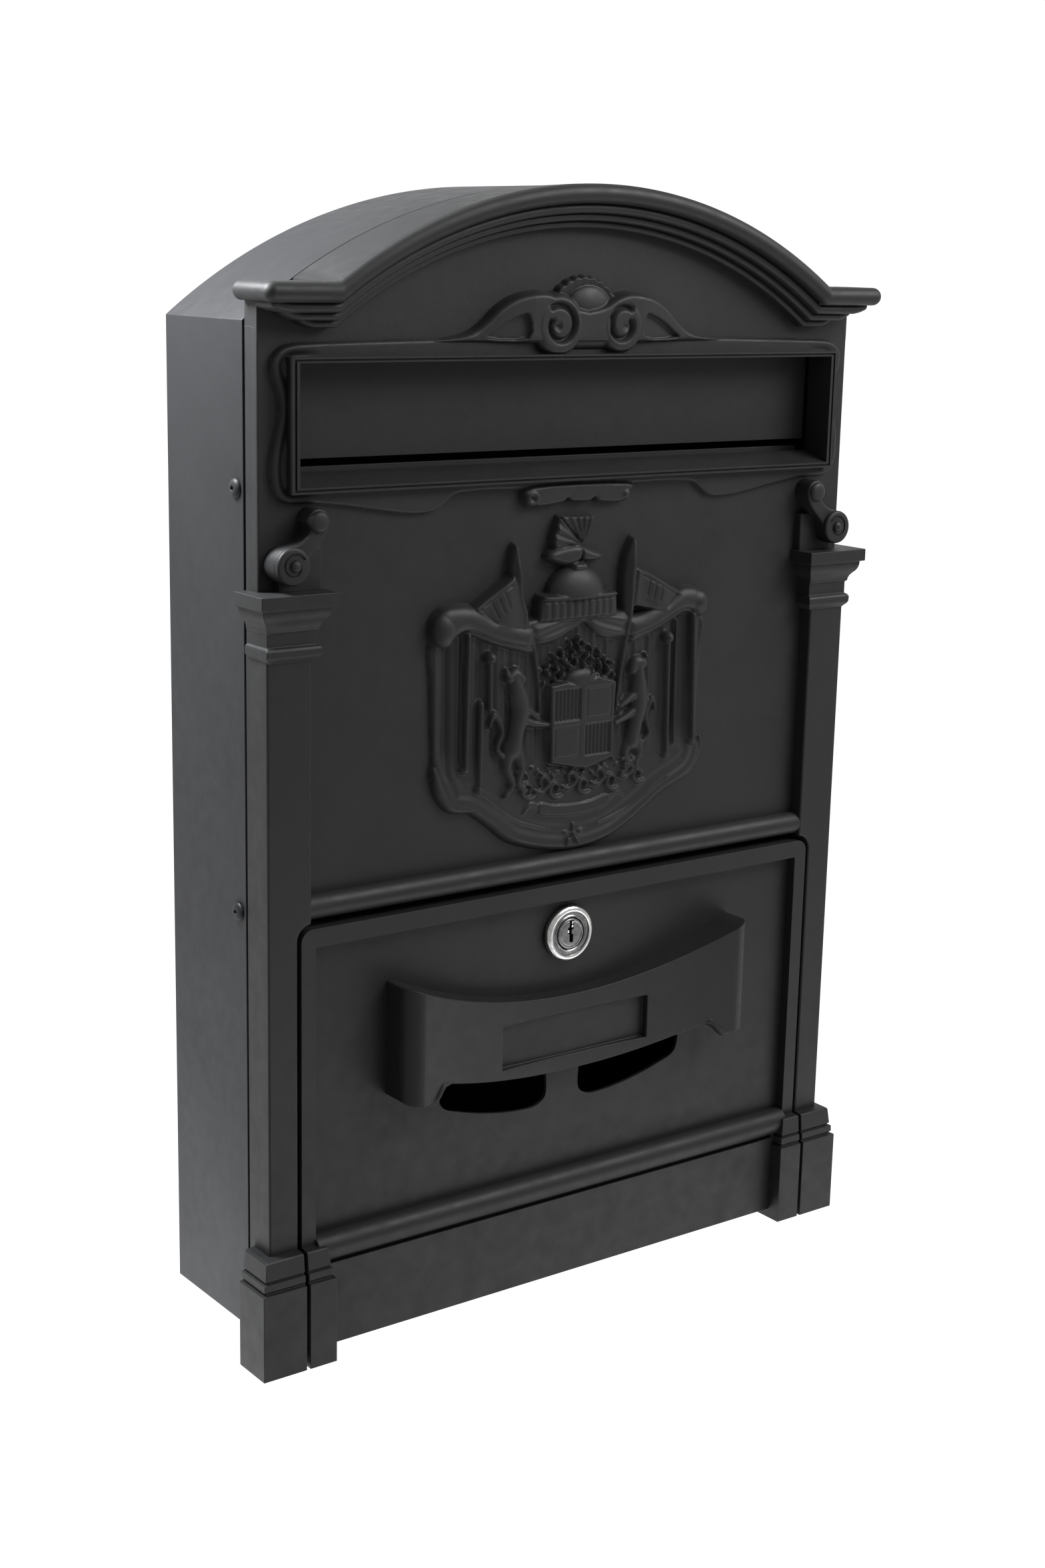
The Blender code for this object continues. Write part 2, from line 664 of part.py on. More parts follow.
def lock_washer(hinge, pivot):
    near = PANEL_BACK + GAP
    bore = LOCK_BODY_R + GAP
    profile = [(bore, near), (13, near), (13, near + 1), (bore, near + 1)]
    return finish(turned("lock_washer", "Y", (0, LOCK_HEIGHT), profile), "zinc_steel", pivot, hinge)


def lock_nut(hinge, pivot):
    near = PANEL_BACK + GAP + 1 + GAP
    nut = rod("lock_nut", "Y", (0, LOCK_HEIGHT), 12.6, near, near + 4, 6)
    combine(nut, "DIFFERENCE", [rod("nut_bore", "Y", (0, LOCK_HEIGHT), LOCK_BODY_R + GAP, -70, -40, 32)])
    return finish(nut, "zinc_steel", pivot, hinge)


def lock_cam(pivot, spin):
    """The tongue, turned aside while the door is unlocked."""
    reach, root, tip, steps = 31.0, 8.0, 5.0, 8
    outline = []
    for centre, radius, start in ((0, root, 90), (reach - tip, tip, -90)):
        for i in range(steps + 1):
            angle = math.radians(start + 180 * i / steps)
            outline.append((centre + radius * math.cos(angle), LOCK_HEIGHT + radius * math.sin(angle)))
    cam = prism("lock_cam", [outline], CAM_FRONT, CAM_FRONT + CAM_THICK)
    combine(cam, "DIFFERENCE", [rod("cam_bore", "Y", (0, LOCK_HEIGHT), 3.0 + GAP, -60, -40)])
    return finish(cam, "zinc_steel", pivot, spin)


def cam_screw(pivot, spin):
    seat = CAM_FRONT + CAM_THICK + GAP
    profile = [(0, seat - 4.4), (1.2, seat - 4.2), (1.2, seat), (5.0, seat), (5.0, seat + 0.6), (3.0, seat + 0.8),
               (2.8, seat + 2.2), (0, seat + 2.4)]
    screw = turned("cam_screw", "Y", (0, LOCK_HEIGHT), profile, 20)
    slots = [box("slot_a", (-2, 2), (seat + 1.2, seat + 5), (LOCK_HEIGHT - 0.4, LOCK_HEIGHT + 0.4)),
             box("slot_b", (-0.4, 0.4), (seat + 1.2, seat + 5), (LOCK_HEIGHT - 2, LOCK_HEIGHT + 2))]
    combine(screw, "DIFFERENCE", slots)
    return finish(screw, "zinc_steel", pivot, spin)


# ---------- assembly ----------


def pivot_empty(name, pivot, parent=FOOT, parent_pivot=(0, 0, 0)):
    offset = (Vector(pivot) - Vector(parent_pivot)) * MM
    return empty(name, offset, parent)


def build():
    front_casting()
    body_shell()
    back_panel()
    bottom_panel()
    flap_hinge = pivot_empty("flap_axis", (0, FLAP_PIN_Y, FLAP_PIN_HEIGHT))
    slot_flap(flap_hinge)
    flap_pin()
    for side_name in SIDES:
        flap_bracket(side_name)
        pin_clip(side_name)
        hinge_pin(side_name)
        for place in SCREW_X:
            bracket_screw(side_name, place)
        for level in RIVET_HEIGHTS:
            rivet(side_name, level)
    door_pivot = (0, HINGE_Y, HINGE_HEIGHT)
    door_hinge = pivot_empty("door_axis", door_pivot)
    collection_door(door_hinge)
    for piece in (lock_barrel, lock_washer, lock_nut):
        piece(door_hinge, door_pivot)
    lock_pivot = (0, LOCK_BACK, LOCK_HEIGHT)
    lock_spin = pivot_empty("lock_axis", lock_pivot, door_hinge, door_pivot)
    for piece in (lock_plug, lock_cam, cam_screw):
        piece(lock_pivot, lock_spin)


build()
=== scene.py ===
import math

import bmesh
import bpy
import numpy as np
from mathutils import Matrix, Vector


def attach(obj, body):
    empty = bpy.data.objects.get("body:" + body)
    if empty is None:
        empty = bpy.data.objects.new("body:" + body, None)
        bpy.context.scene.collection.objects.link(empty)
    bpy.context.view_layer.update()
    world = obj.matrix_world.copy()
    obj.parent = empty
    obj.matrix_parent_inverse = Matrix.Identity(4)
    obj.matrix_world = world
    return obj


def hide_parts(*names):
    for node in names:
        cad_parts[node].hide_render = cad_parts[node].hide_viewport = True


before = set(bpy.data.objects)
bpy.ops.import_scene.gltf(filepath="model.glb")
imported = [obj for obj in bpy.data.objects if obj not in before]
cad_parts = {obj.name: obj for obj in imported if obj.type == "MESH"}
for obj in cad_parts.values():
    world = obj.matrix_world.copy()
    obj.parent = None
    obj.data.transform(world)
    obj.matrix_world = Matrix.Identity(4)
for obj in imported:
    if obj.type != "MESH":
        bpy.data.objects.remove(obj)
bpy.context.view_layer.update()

# Wall letterbox. Lengths are millimetres: x to the right, y towards the wall, and heights above the
# plinth's foot.

MM = 0.001
ORIGIN_HEIGHT = 205.0  # of the frame's origin above the plinth's foot
SIDES = {"left": -1, "right": 1}

# Body
SHELL_HALF = 130.5
SHELL_SPRING = 363.6
SHELL_CROWN = 409.6
SHELL_RISE = SHELL_CROWN - SHELL_SPRING
SHELL_RADIUS = (SHELL_HALF**2 + SHELL_RISE**2) / (2 * SHELL_RISE)
SHELL_CENTRE = SHELL_CROWN - SHELL_RADIUS
SHELL_FOOT = 11.4
SHELL_FRONT = -52.2
SHEET = 1.0
GAP = 0.3
ARCH_STEPS, CORNER_STEPS = 96, 8
CAST_HALF = 130.3
CAP_DROP = 1.6  # how far the plate's arch lies under the cap that covers it

# Planes of the casting
FACE = -61.0
RELIEF_FRONT = -66.7
RIM_BACK = -53.0
SUNK = 0.5  # how far a modelled sheet's edge lies under the face

# Openings
OPENING_HALF, OPENING_TOP, OPENING_CORNER = 118.7, 162.0, 5.5
DOOR_HALF, DOOR_FOOT, DOOR_TOP, DOOR_CORNER = 117.3, 3.8, 160.2, 4.5
LIP_HALF, LIP_LOW, LIP_HIGH = 120.4, 308.3, 352.3
SLOT_HALF, SLOT_LOW, SLOT_HIGH, SILL_RISE = 117.5, 310.4, 350.4, 3.6

# Pilasters
PILASTER_FOOT, PILASTER_TOP = 33, 257
FOOT_HALF = 129.6  # of plinths and capitals, before their mouldings

# Cornice
CROWN = 410.0
ARC_FOOT = (108.0, 376.2)
EAR_END, EAR_ROUND, EAR_FRONT = 134.5, 3.2, -72.8
ARC_RISE = CROWN - ARC_FOOT[1]
ARC_RADIUS = (ARC_FOOT[0] ** 2 + ARC_RISE**2) / (2 * ARC_RISE)
ARC_CENTRE = CROWN - ARC_RADIUS

# Door's hinge (y and height) and lock
HINGE = (-66, 3.4)
LOCK_HEIGHT = 139.8
LOCK_FRONT = -62.7


# ---------- materials ----------


def feed(tree, node, inputs):
    """Sets a node's inputs, each to a value or to another node's output."""
    for socket, value in inputs.items():
        if isinstance(value, bpy.types.NodeSocket):
            tree.links.new(value, node.inputs[socket])
        else:
            node.inputs[socket].default_value = value
    return node


def added(tree, kind, inputs):
    return feed(tree, tree.nodes.new(f"ShaderNode{kind}"), inputs)


def new_material(name):
    material = bpy.data.materials.new(name)
    material.use_nodes = True
    tree = material.node_tree
    place = tree.nodes.new("ShaderNodeTexCoord").outputs["Object"]
    return material, tree, tree.nodes["Principled BSDF"], place


def noise(tree, vector, scale, detail, roughness=0.5):
    inputs = {"Vector": vector, "Scale": scale, "Detail": detail, "Roughness": roughness}
    return added(tree, "TexNoise", inputs).outputs["Fac"]


def ranged(tree, value, low, high, start=0.3, end=0.7):
    """The value stretched from start..end to low..high."""
    inputs = {"Value": value, "From Min": start, "From Max": end, "To Min": low, "To Max": high}
    return added(tree, "MapRange", inputs).outputs["Result"]


def blended(tree, factor, dark, light):
    node = tree.nodes.new("ShaderNodeMix")
    node.data_type = "RGBA"
    return feed(tree, node, {"Factor": factor, 6: (*dark, 1.0), 7: (*light, 1.0)}).outputs[2]


def bumped(tree, height, distance, strength, before=None):
    inputs = {"Height": height, "Distance": distance, "Strength": strength}
    if before:
        inputs["Normal"] = before
    return added(tree, "Bump", inputs).outputs["Normal"]


def coated(name, dark, light, roughness, grain, peel, gloss):
    """A matt powder coat: a fine grain, a wider orange peel, and slight unevenness of tone and sheen."""
    material, tree, shader, place = new_material(name)
    cloud = noise(tree, place, 22.0, 3.0)
    wide = bumped(tree, noise(tree, place, 330.0, 2.0), 0.00012, peel)
    feed(tree, shader, {
        "Base Color": blended(tree, ranged(tree, cloud, 0.0, 1.0), dark, light),
        "Roughness": ranged(tree, noise(tree, place, 160.0, 3.0), *roughness),
        "Normal": bumped(tree, noise(tree, place, 1500.0, 2.0, 0.6), 0.00006, grain, wide),
        "Specular IOR Level": gloss,
    })
    return material


def turned_steel(name, dull, bright):
    """Plated metal with the fine rings of a lathe about the lock's axis, and a few dull clouds."""
    material, tree, shader, place = new_material(name)
    axis = (0.0, 0.0, (ORIGIN_HEIGHT - LOCK_HEIGHT) * MM)
    centred = added(tree, "Mapping", {"Vector": place, "Location": axis}).outputs["Vector"]
    inputs = {"Vector": centred, "Scale": 900.0, "Distortion": 1.2, "Detail": 1.0}
    rings = added(tree, "TexWave", inputs)
    rings.wave_type = "RINGS"
    rings.rings_direction = "Y"
    cloud = noise(tree, place, 420.0, 4.0, 0.6)
    marks = bumped(tree, rings.outputs["Fac"], 0.00002, 0.35)
    feed(tree, shader, {
        "Base Color": blended(tree, ranged(tree, cloud, 0.0, 1.0), dull, bright),
        "Roughness": ranged(tree, cloud, 0.34, 0.17),
        "Normal": bumped(tree, cloud, 0.00008, 0.5, marks),
        "Metallic": 1.0,
    })
    return material


def plated_steel(name):
    """Zinc plate: pale spangled patches on a dull metal."""
    material, tree, shader, place = new_material(name)
    cells = added(tree, "TexVoronoi", {"Vector": place, "Scale": 600.0})
    patch = ranged(tree, cells.outputs["Distance"], 0.0, 1.0, 0.0, 0.8)
    grain = noise(tree, place, 900.0, 3.0)
    feed(tree, shader, {
        "Base Color": blended(tree, patch, (0.42, 0.43, 0.44), (0.55, 0.56, 0.56)),
        "Roughness": ranged(tree, grain, 0.32, 0.48),
        "Normal": bumped(tree, grain, 0.00005, 0.3),
        "Metallic": 1.0,
    })
    return material


def studio_white(name):
    """A glowing stage: white on the floor and beyond the object, where it glows most, and pale grey on the
    other walls, which glow less, so that the front stays dark.
    """
    material, tree, shader, place = new_material(name)
    beyond = tree.nodes.new("ShaderNodeVectorMath")
    beyond.operation = "DOT_PRODUCT"
    feed(tree, beyond, {0: place, 1: (0.6, 0.8, -1.5)})
    feed(tree, shader, {
        "Base Color": blended(tree, noise(tree, place, 0.8, 2.0), (0.58, 0.58, 0.58), (0.62, 0.62, 0.62)),
        "Roughness": 1.0,
        "Specular IOR Level": 0.0,
        # the stage's glow is light: strongest on the floor and beyond the object, weakest towards the front
        "Emission Strength": ranged(tree, beyond.outputs["Value"], 0.10, 0.64, -0.2, 1.4),
        "Emission Color": (1.0, 1.0, 1.0, 1.0),
    })
    return material


MATERIALS = {
    "cast_front": coated(
        "cast_powder_coat", (0.0094, 0.0095, 0.0097), (0.0117, 0.0118, 0.0120),
        roughness=(0.44, 0.56), grain=0.5, peel=0.35, gloss=0.19,
    ),
    "body_sheet": coated(
        "sheet_powder_coat", (0.0112, 0.0115, 0.0122), (0.0139, 0.0143, 0.0151),
        roughness=(0.42, 0.52), grain=0.3, peel=0.3, gloss=0.14,
    ),
    "flap_sheet": coated(
        "flap_powder_coat", (0.0086, 0.0088, 0.0090), (0.0105, 0.0107, 0.0110),
        roughness=(0.44, 0.56), grain=0.4, peel=0.3, gloss=0.19,
    ),
    "bright_steel": turned_steel("lock_plate", (0.42, 0.42, 0.41), (0.74, 0.74, 0.73)),
    "zinc_steel": plated_steel("zinc_plate"),
}
LOCK_FACE = turned_steel("lock_face", (0.10, 0.10, 0.10), (0.24, 0.24, 0.24))

# ---------- making pieces ----------

FLAT_ANGLE = 0.3  # degrees: faces that bend less than this are one
SHARP_ANGLE = 46  # degrees: an edge that bends more than this isn't shaded smooth


def linked(name, data):
    obj = bpy.data.objects.new(name, data)
    bpy.context.scene.collection.objects.link(obj)
    return obj


def new_object(name, bm):
    """A bmesh in millimetres above the foot, as an object in the row frame."""
    bmesh.ops.recalc_face_normals(bm, faces=bm.faces)
    shift = Matrix.Translation((0.0, 0.0, -ORIGIN_HEIGHT * MM))
    bmesh.ops.transform(bm, matrix=shift @ Matrix.Diagonal((MM, MM, MM, 1.0)), verts=bm.verts)
    mesh = bpy.data.meshes.new(name)
    bm.to_mesh(mesh)
    bm.free()
    return linked(name, mesh)


def settle(obj):
    """Applies the modifiers to the mesh."""
    bpy.context.view_layer.update()
    shaped = obj.evaluated_get(bpy.context.evaluated_depsgraph_get())
    mesh = bpy.data.meshes.new_from_object(shaped)
    obj.modifiers.clear()
    obj.data = mesh


def cut(target, *cutters):
    for cutter in cutters:
        modifier = target.modifiers.new(cutter.name, "BOOLEAN")
        modifier.operation = "DIFFERENCE"
        modifier.object = cutter
        modifier.solver = "EXACT"
    settle(target)
    for cutter in cutters:
        bpy.data.objects.remove(cutter)


def finished(obj, body, slot, nodes, bevel=0.4, limit=30.0, segments=2):
    """Rounds the sharp edges, gives the piece its coat and hangs it on its body."""
    if bevel:
        flat = bmesh.new()
        flat.from_mesh(obj.data)
        bmesh.ops.remove_doubles(flat, verts=flat.verts, dist=1e-6)
        bmesh.ops.dissolve_limit(
            flat, angle_limit=math.radians(FLAT_ANGLE), use_dissolve_boundaries=False,
            verts=flat.verts, edges=flat.edges,
        )
        flat.to_mesh(obj.data)
        flat.free()
        rounding = obj.modifiers.new("round", "BEVEL")
        rounding.width = bevel * MM
        rounding.segments = segments
        rounding.limit_method = "ANGLE"
        rounding.angle_limit = math.radians(limit)
        rounding.miter_outer = "MITER_ARC"
        settle(obj)
    obj.data.shade_smooth()
    obj.data.set_sharp_from_angle(angle=math.radians(SHARP_ANGLE))
    weigh = obj.modifiers.new("weigh", "WEIGHTED_NORMAL")
    weigh.keep_sharp = True
    settle(obj)
    return dressed(obj, body, slot, nodes)


def dressed(obj, body, slot, nodes):
    obj.data.materials.clear()
    obj.data.materials.append(MATERIALS[slot])
    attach(obj, body)
    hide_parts(*nodes)
    return obj


def prism(name, outline, y_front, y_back):
    """A flat outline of (x, height) points with a thickness along Y."""
    bm = bmesh.new()
    front = [bm.verts.new((x, y_front, z)) for x, z in outline]
    back = [bm.verts.new((x, y_back, z)) for x, z in outline]
    bm.faces.new(front)
    bm.faces.new(reversed(back))
    for i in range(len(front)):
        j = (i + 1) % len(front)
        bm.faces.new((front[i], back[i], back[j], front[j]))
    return new_object(name, bm)


def loft(name, rings):
    """A solid through rings of equal count, with its first and last ring closed."""
    bm = bmesh.new()
    loops = [[bm.verts.new(point) for point in ring] for ring in rings]
    for low, high in zip(loops, loops[1:]):
        for i in range(len(low)):
            j = (i + 1) % len(low)
            bm.faces.new((low[i], low[j], high[j], high[i]))
    bm.faces.new(reversed(loops[0]))
    bm.faces.new(loops[-1])
    return new_object(name, bm)


def block(name, x, y, z):
    """A cuboid between two values of x, of y and of height."""
    low_x, high_x = sorted(x)
    outline = [(low_x, z[0]), (high_x, z[0]), (high_x, z[1]), (low_x, z[1])]
    return prism(name, outline, *y)


def spun(profile, closed, steps, weld):
    """The surface that a profile of (radius, height) sweeps about Z."""
    bm = bmesh.new()
    points = [bm.verts.new((radius, 0, height)) for radius, height in profile]
    edges = [bm.edges.new(pair) for pair in zip(points, points[1:])]
    if closed:
        edges.append(bm.edges.new((points[-1], points[0])))
    circle = {"cent": (0, 0, 0), "axis": (0, 0, 1), "angle": 2 * math.pi, "steps": steps}
    bmesh.ops.spin(bm, geom=[*points, *edges], use_merge=True, **circle)
    bmesh.ops.remove_doubles(bm, verts=bm.verts, dist=weld)
    return bm


def turned(name, axis, centre, profile, segments=64):
    """A solid of revolution about X or Y. The profile is (radius, position along the axis)."""
    bm = spun(profile, profile[0][0] > 0, segments, 0.001)
    if axis == "X":
        turn = Matrix(((0, 0, 1), (1, 0, 0), (0, 1, 0))).to_4x4()
        at = Vector((0, centre[0], centre[1]))
    else:
        turn = Matrix(((0, 1, 0), (0, 0, 1), (1, 0, 0))).to_4x4()
        at = Vector((centre[0], 0, centre[1]))
    bmesh.ops.transform(bm, matrix=Matrix.Translation(at) @ turn, verts=bm.verts)
    return new_object(name, bm)


def rod(name, axis, centre, radius, start, end, segments=48):
    return turned(name, axis, centre, [(0, start), (radius, start), (radius, end), (0, end)], segments)


# ---------- outlines ----------


def arc_points(centre, radius, start, end, steps):
    """Points on an arc, its angles in degrees from +x towards +z."""
    angles = np.radians(np.linspace(start, end, steps + 1))
    return [(centre[0] + radius * math.cos(a), centre[1] + radius * math.sin(a)) for a in angles]


def arch_outline(inset, foot, drop=0.0):
    """The body's outline drawn in by inset, its arch lowered by drop, from the left foot to the right."""
    radius = SHELL_RADIUS - inset
    half = SHELL_HALF - inset
    reach = math.degrees(math.asin(half / radius))
    arch = arc_points((0, SHELL_CENTRE - drop), radius, 90 + reach, 90 - reach, ARCH_STEPS)
    return [(-half, foot), *arch, (half, foot)]


def arch_band(outer, inner, foot, drop=0.0):
    return [*arch_outline(outer, foot, drop), *reversed(arch_outline(inner, foot, drop))]


def rounded_top(half, foot, top, radius):
    left = arc_points((radius - half, top - radius), radius, 180, 90, CORNER_STEPS)
    right = arc_points((half - radius, top - radius), radius, 90, 0, CORNER_STEPS)
    return [(-half, foot), *left, *right, (half, foot)]


def smooth(points, steps=6, closed=True):
    """A Catmull-Rom curve through the points."""
    points = np.array(points, float)
    count = len(points)
    found = []
    for i in range(count if closed else count - 1):
        around = [i + k if closed else min(max(i + k, 0), count - 1) for k in (-1, 0, 1, 2)]
        a, b, c, d = (points[k % count] for k in around)
        for t in np.arange(steps) / steps:
            curve = 2 * b + (c - a) * t + (2 * a - 5 * b + 4 * c - d) * t**2
            found.append(0.5 * (curve + (3 * b - a - 3 * c + d) * t**3))
    if not closed:
        found.append(points[-1])
    return [tuple(point) for point in found]


def flipped(points, side):
    return [(side * x, z) for x, z in points]


# ---------- modelled relief ----------


def unit(value):
    """The value held between 0 and 1."""
    return np.clip(value, 0, 1)


def outline_distance(points, x, z):
    """How far inside the outline each place lies, negative outside it."""
    nearest = np.full(x.shape, 1e9)
    inside = np.zeros(x.shape, bool)
    points = [tuple(point) for point in points]
    for (ax, az), (bx, bz) in zip(points, [*points[1:], points[0]]):
        ex, ez = bx - ax, bz - az
        along = unit(((x - ax) * ex + (z - az) * ez) / (ex * ex + ez * ez + 1e-12))
        nearest = np.minimum(nearest, (x - ax - along * ex) ** 2 + (z - az - along * ez) ** 2)
        if az != bz:
            inside ^= ((az > z) != (bz > z)) & (x < ax + (z - az) * ex / ez)
    return np.where(inside, 1.0, -1.0) * np.sqrt(nearest)


def path_distance(points, x, z):
    """The distance from an open path, and how far along it the nearest place is, from 0 to 1."""
    points = [tuple(point) for point in points]
    nearest = np.full(x.shape, 1e9)
    travelled = np.zeros(x.shape)
    start = 0.0
    for (ax, az), (bx, bz) in zip(points, points[1:]):
        ex, ez = bx - ax, bz - az
        length = math.hypot(ex, ez)
        along = unit(((x - ax) * ex + (z - az) * ez) / (length**2 + 1e-12))
        square = (x - ax - along * ex) ** 2 + (z - az - along * ez) ** 2
        closer = square < nearest
        nearest = np.where(closer, square, nearest)
        travelled = np.where(closer, start + along * length, travelled)
        start += length
    return np.sqrt(nearest), travelled / start


def ellipse_distance(centre, radii, x, z, turn=0.0):
    """Roughly how far inside an ellipse each place lies."""
    c, s = math.cos(math.radians(turn)), math.sin(math.radians(turn))
    u = ((x - centre[0]) * c + (z - centre[1]) * s) / radii[0]
    v = (-(x - centre[0]) * s + (z - centre[1]) * c) / radii[1]
    return (1 - np.hypot(u, v)) * min(radii)


def rounded(t):
    """A quarter circle's rise over 0 to 1."""
    return np.sqrt(1 - (1 - unit(t)) ** 2)


class Relief:
    """A modelled sheet on the face: heights over a grid of x and z."""

    def __init__(self, x, z, pitch):
        across = np.linspace(*x, int(round((x[1] - x[0]) / pitch)) + 1)
        up = np.linspace(*z, int(round((z[1] - z[0]) / pitch)) + 1)
        self.x, self.z = np.meshgrid(across, up)
        self.height = np.full(self.x.shape, -4.0)

    def raise_to(self, height):
        self.height = np.maximum(self.height, height)

    def form(self, distance, low, top, edge, steep=3.5):
        """A form that climbs from low to top over its rounded edge, and falls away outside its outline."""
        over = low + (top - low) * rounded(distance / edge)
        self.raise_to(np.where(distance > 0, over, low + steep * distance))

    def outline(self, points, low, top, edge, steep=3.5):
        distance = outline_distance(points, self.x, self.z)
        self.form(distance, low, top, edge, steep)
        return distance

    def ellipse(self, centre, radii, low, top, turn=0.0):
        self.form(ellipse_distance(centre, radii, self.x, self.z, turn), low, top, min(radii))

    def limb(self, points, radii, low, top):
        """A rounded strand along a smooth path, its radius changing evenly from end to end."""
        path = smooth(points, 4, closed=False)
        distance, along = path_distance(path, self.x, self.z)
        radius = np.interp(along, np.linspace(0, 1, len(radii)), radii)
        self.form(radius - distance, low, top, radius)

    def groove(self, points, width, depth):
        """A rounded groove along a path."""
        distance, _ = path_distance(points, self.x, self.z)
        self.height -= depth * unit(1 - distance / width) ** 1.5

    def ridges(self, mask, wave, depth):
        self.height += unit(mask) * depth * wave

    def mesh(self, name, keep=None):
        above = self.height > -SUNK
        if keep is not None:
            above &= keep
        rows, columns = above.shape
        used = above[:-1, :-1] | above[1:, :-1] | above[:-1, 1:] | above[1:, 1:]
        number = np.arange(rows * columns).reshape(rows, columns)
        corners = (number[:-1, :-1], number[:-1, 1:], number[1:, 1:], number[1:, :-1])
        kept, faces = np.unique(np.stack(corners, axis=-1)[used], return_inverse=True)
        y = FACE - np.maximum(self.height, -SUNK)
        points = np.stack([self.x, y, self.z - ORIGIN_HEIGHT], axis=-1).reshape(-1, 3)[kept] * MM
        mesh = bpy.data.meshes.new(name)
        mesh.from_pydata(points.tolist(), [], faces.reshape(-1, 4).tolist())
        mesh.shade_smooth()
        return linked(name, mesh)


HOUSING = ("housing", "cast_front", ("front_casting",))


def cast(obj, bevel=0.0, **rounding):
    """A piece of the front casting."""
    return finished(obj, *HOUSING, bevel=bevel, **rounding)


def cast_block(name, x, y, z, bevel=0.3):
    return cast(block(name, x, y, z), bevel)


# ---------- front plate ----------


def front_plate():
    opening = rounded_top(OPENING_HALF, 0, OPENING_TOP, OPENING_CORNER)
    outline = [*arch_outline(GAP, 0, CAP_DROP), *reversed(opening)]
    plate = prism("front_plate", outline, FACE, FACE + 4)
    slot = block("slot_hole", (-119, 119), (FACE - 3, FACE + 9), (309.4, 351.2))
    cut(plate, slot)
    return cast(plate, bevel=0.7, segments=3)


def front_rim():
    """The edge that turns back towards the sheet, the flange inside the sheet, and the door's stops."""
    rim = prism("front_rim", arch_band(GAP, 3.8, 0, CAP_DROP), FACE + 3.0, RIM_BACK)
    cast(rim, bevel=0.35)
    flange = prism("front_flange", arch_band(1.0 + GAP, 3.7, 16), FACE + 3.5, -42.0)
    cast(flange, bevel=0.3)
    for name, side in SIDES.items():
        cast_block(f"leg_web_{name}", (side * 118.75, side * 121.4), (-57.6, -52.4), (6, 164))
        cast_block(f"door_stop_{name}", (side * 114.4, side * 121.5), (-54.9, -52.5), (20, 157.6))
    cast_block("door_stop_top", (-120, 120), (-54.9, -52.7), (157.8, 165.1))
    cast_block("door_web_top", (-119.9, 119.9), (-57.7, -52.6), (162.02, 165))


def slot_frame():
    """The lip round the slot with a groove in its face, the sloping sill, and the ledge behind the flap."""
    lip = block("slot_frame", (-LIP_HALF, LIP_HALF), (RELIEF_FRONT, -54.3), (LIP_LOW, LIP_HIGH))
    rings = []
    front, back = RELIEF_FRONT - 1, -53.3
    ledge_top = SLOT_LOW + SILL_RISE
    for x in (-SLOT_HALF, SLOT_HALF):
        sill = [(x, front, SLOT_LOW - 0.4), (x, back, ledge_top + 0.4)]
        rings.append([*sill, (x, back, SLOT_HIGH), (x, front, SLOT_HIGH)])
    groove = []
    for across, up, y in ((1.0, 0.7, (-80, RELIEF_FRONT + 0.8)), (1.75, 1.4, (-90, -50))):
        half = LIP_HALF - across
        groove.append(block("groove", (-half, half), y, (LIP_LOW + up, LIP_HIGH - up)))
    cut(*groove)
    cut(lip, loft("tunnel", rings), groove[0])
    cast(lip, bevel=0.3)
    cast_block("slot_ledge", (-116, 116), (-54.4, -49.6), (ledge_top - 2.4, ledge_top))
    cast_block("slot_upstand", (-115.8, 115.8), (-50.5, -49.3), (ledge_top - 2, 315.7))


# ---------- cornice ----------


def mitres(path):
    """The direction across the path at each point, stretched at bends to keep a swept section's width."""
    steps = np.diff(np.array(path, float), axis=0)
    steps /= np.linalg.norm(steps, axis=1)[:, None]
    across = np.stack([-steps[:, 1], steps[:, 0]], axis=1)
    before = np.vstack([across[:1], across])
    after = np.vstack([across, across[-1:]])
    middle = before + after
    middle /= np.linalg.norm(middle, axis=1)[:, None]
    return middle / (middle * before).sum(axis=1)[:, None]


def strand_path(drop, end, curl):
    """Over the arch at a distance below the cornice's top, and level at each side with its end curled up."""
    radius = ARC_RADIUS - drop
    height = ARC_FOOT[1] - drop
    foot = math.sqrt(radius**2 - (height - ARC_CENTRE) ** 2)
    reach = math.degrees(math.asin(foot / radius))
    arch = arc_points((0, ARC_CENTRE), radius, 90 + reach, 90 - reach, 110)
    left = [(-end, height + curl), (2.2 - end, height + 0.4 * curl), (5.0 - end, height)]
    return [*left, *arch, *((-x, z) for x, z in reversed(left))]


def strand(name, drop, radius, y_centre, end, curl, y_back=FACE + 0.6):
    """One round-fronted member of the cornice, with rounded ends."""
    path = strand_path(drop, end - radius, curl)
    across = mitres(path)
    stations = [(np.array(point), normal, radius) for point, normal in zip(path, across)]
    angles = np.radians(np.linspace(0, 88, 8))[1:]
    for angle in angles:
        for at, sign in ((0, -1), (-1, 1)):
            point = np.array(path[at]) + (sign * radius * math.sin(angle), 0)
            station = (point, np.array((0.0, 1.0)), radius * math.cos(angle))
            stations.insert(0, station) if at == 0 else stations.append(station)
    turn = np.radians(np.linspace(90, -90, 13))
    rings = []
    for point, normal, size in stations:
        front = [(size * math.sin(a), y_centre - size * math.cos(a)) for a in turn]
        section = [(size, y_back), *front, (-size, y_back)]
        rings.append([(point[0] + n * normal[0], y, point[1] + n * normal[1]) for n, y in section])
    return cast(loft(name, rings))


STRANDS = (  # drop below the top, radius, y of the centre, end in x, and curl of the end
    ("cornice_roll_1", 8.1, 1.75, -70.3, 130.5, 1.2),
    ("cornice_roll_2", 10.9, 1.5, -67.5, 124.5, 1.6),
    ("cornice_roll_3", 13.4, 1.35, -64.6, 118.0, 1.8),
)


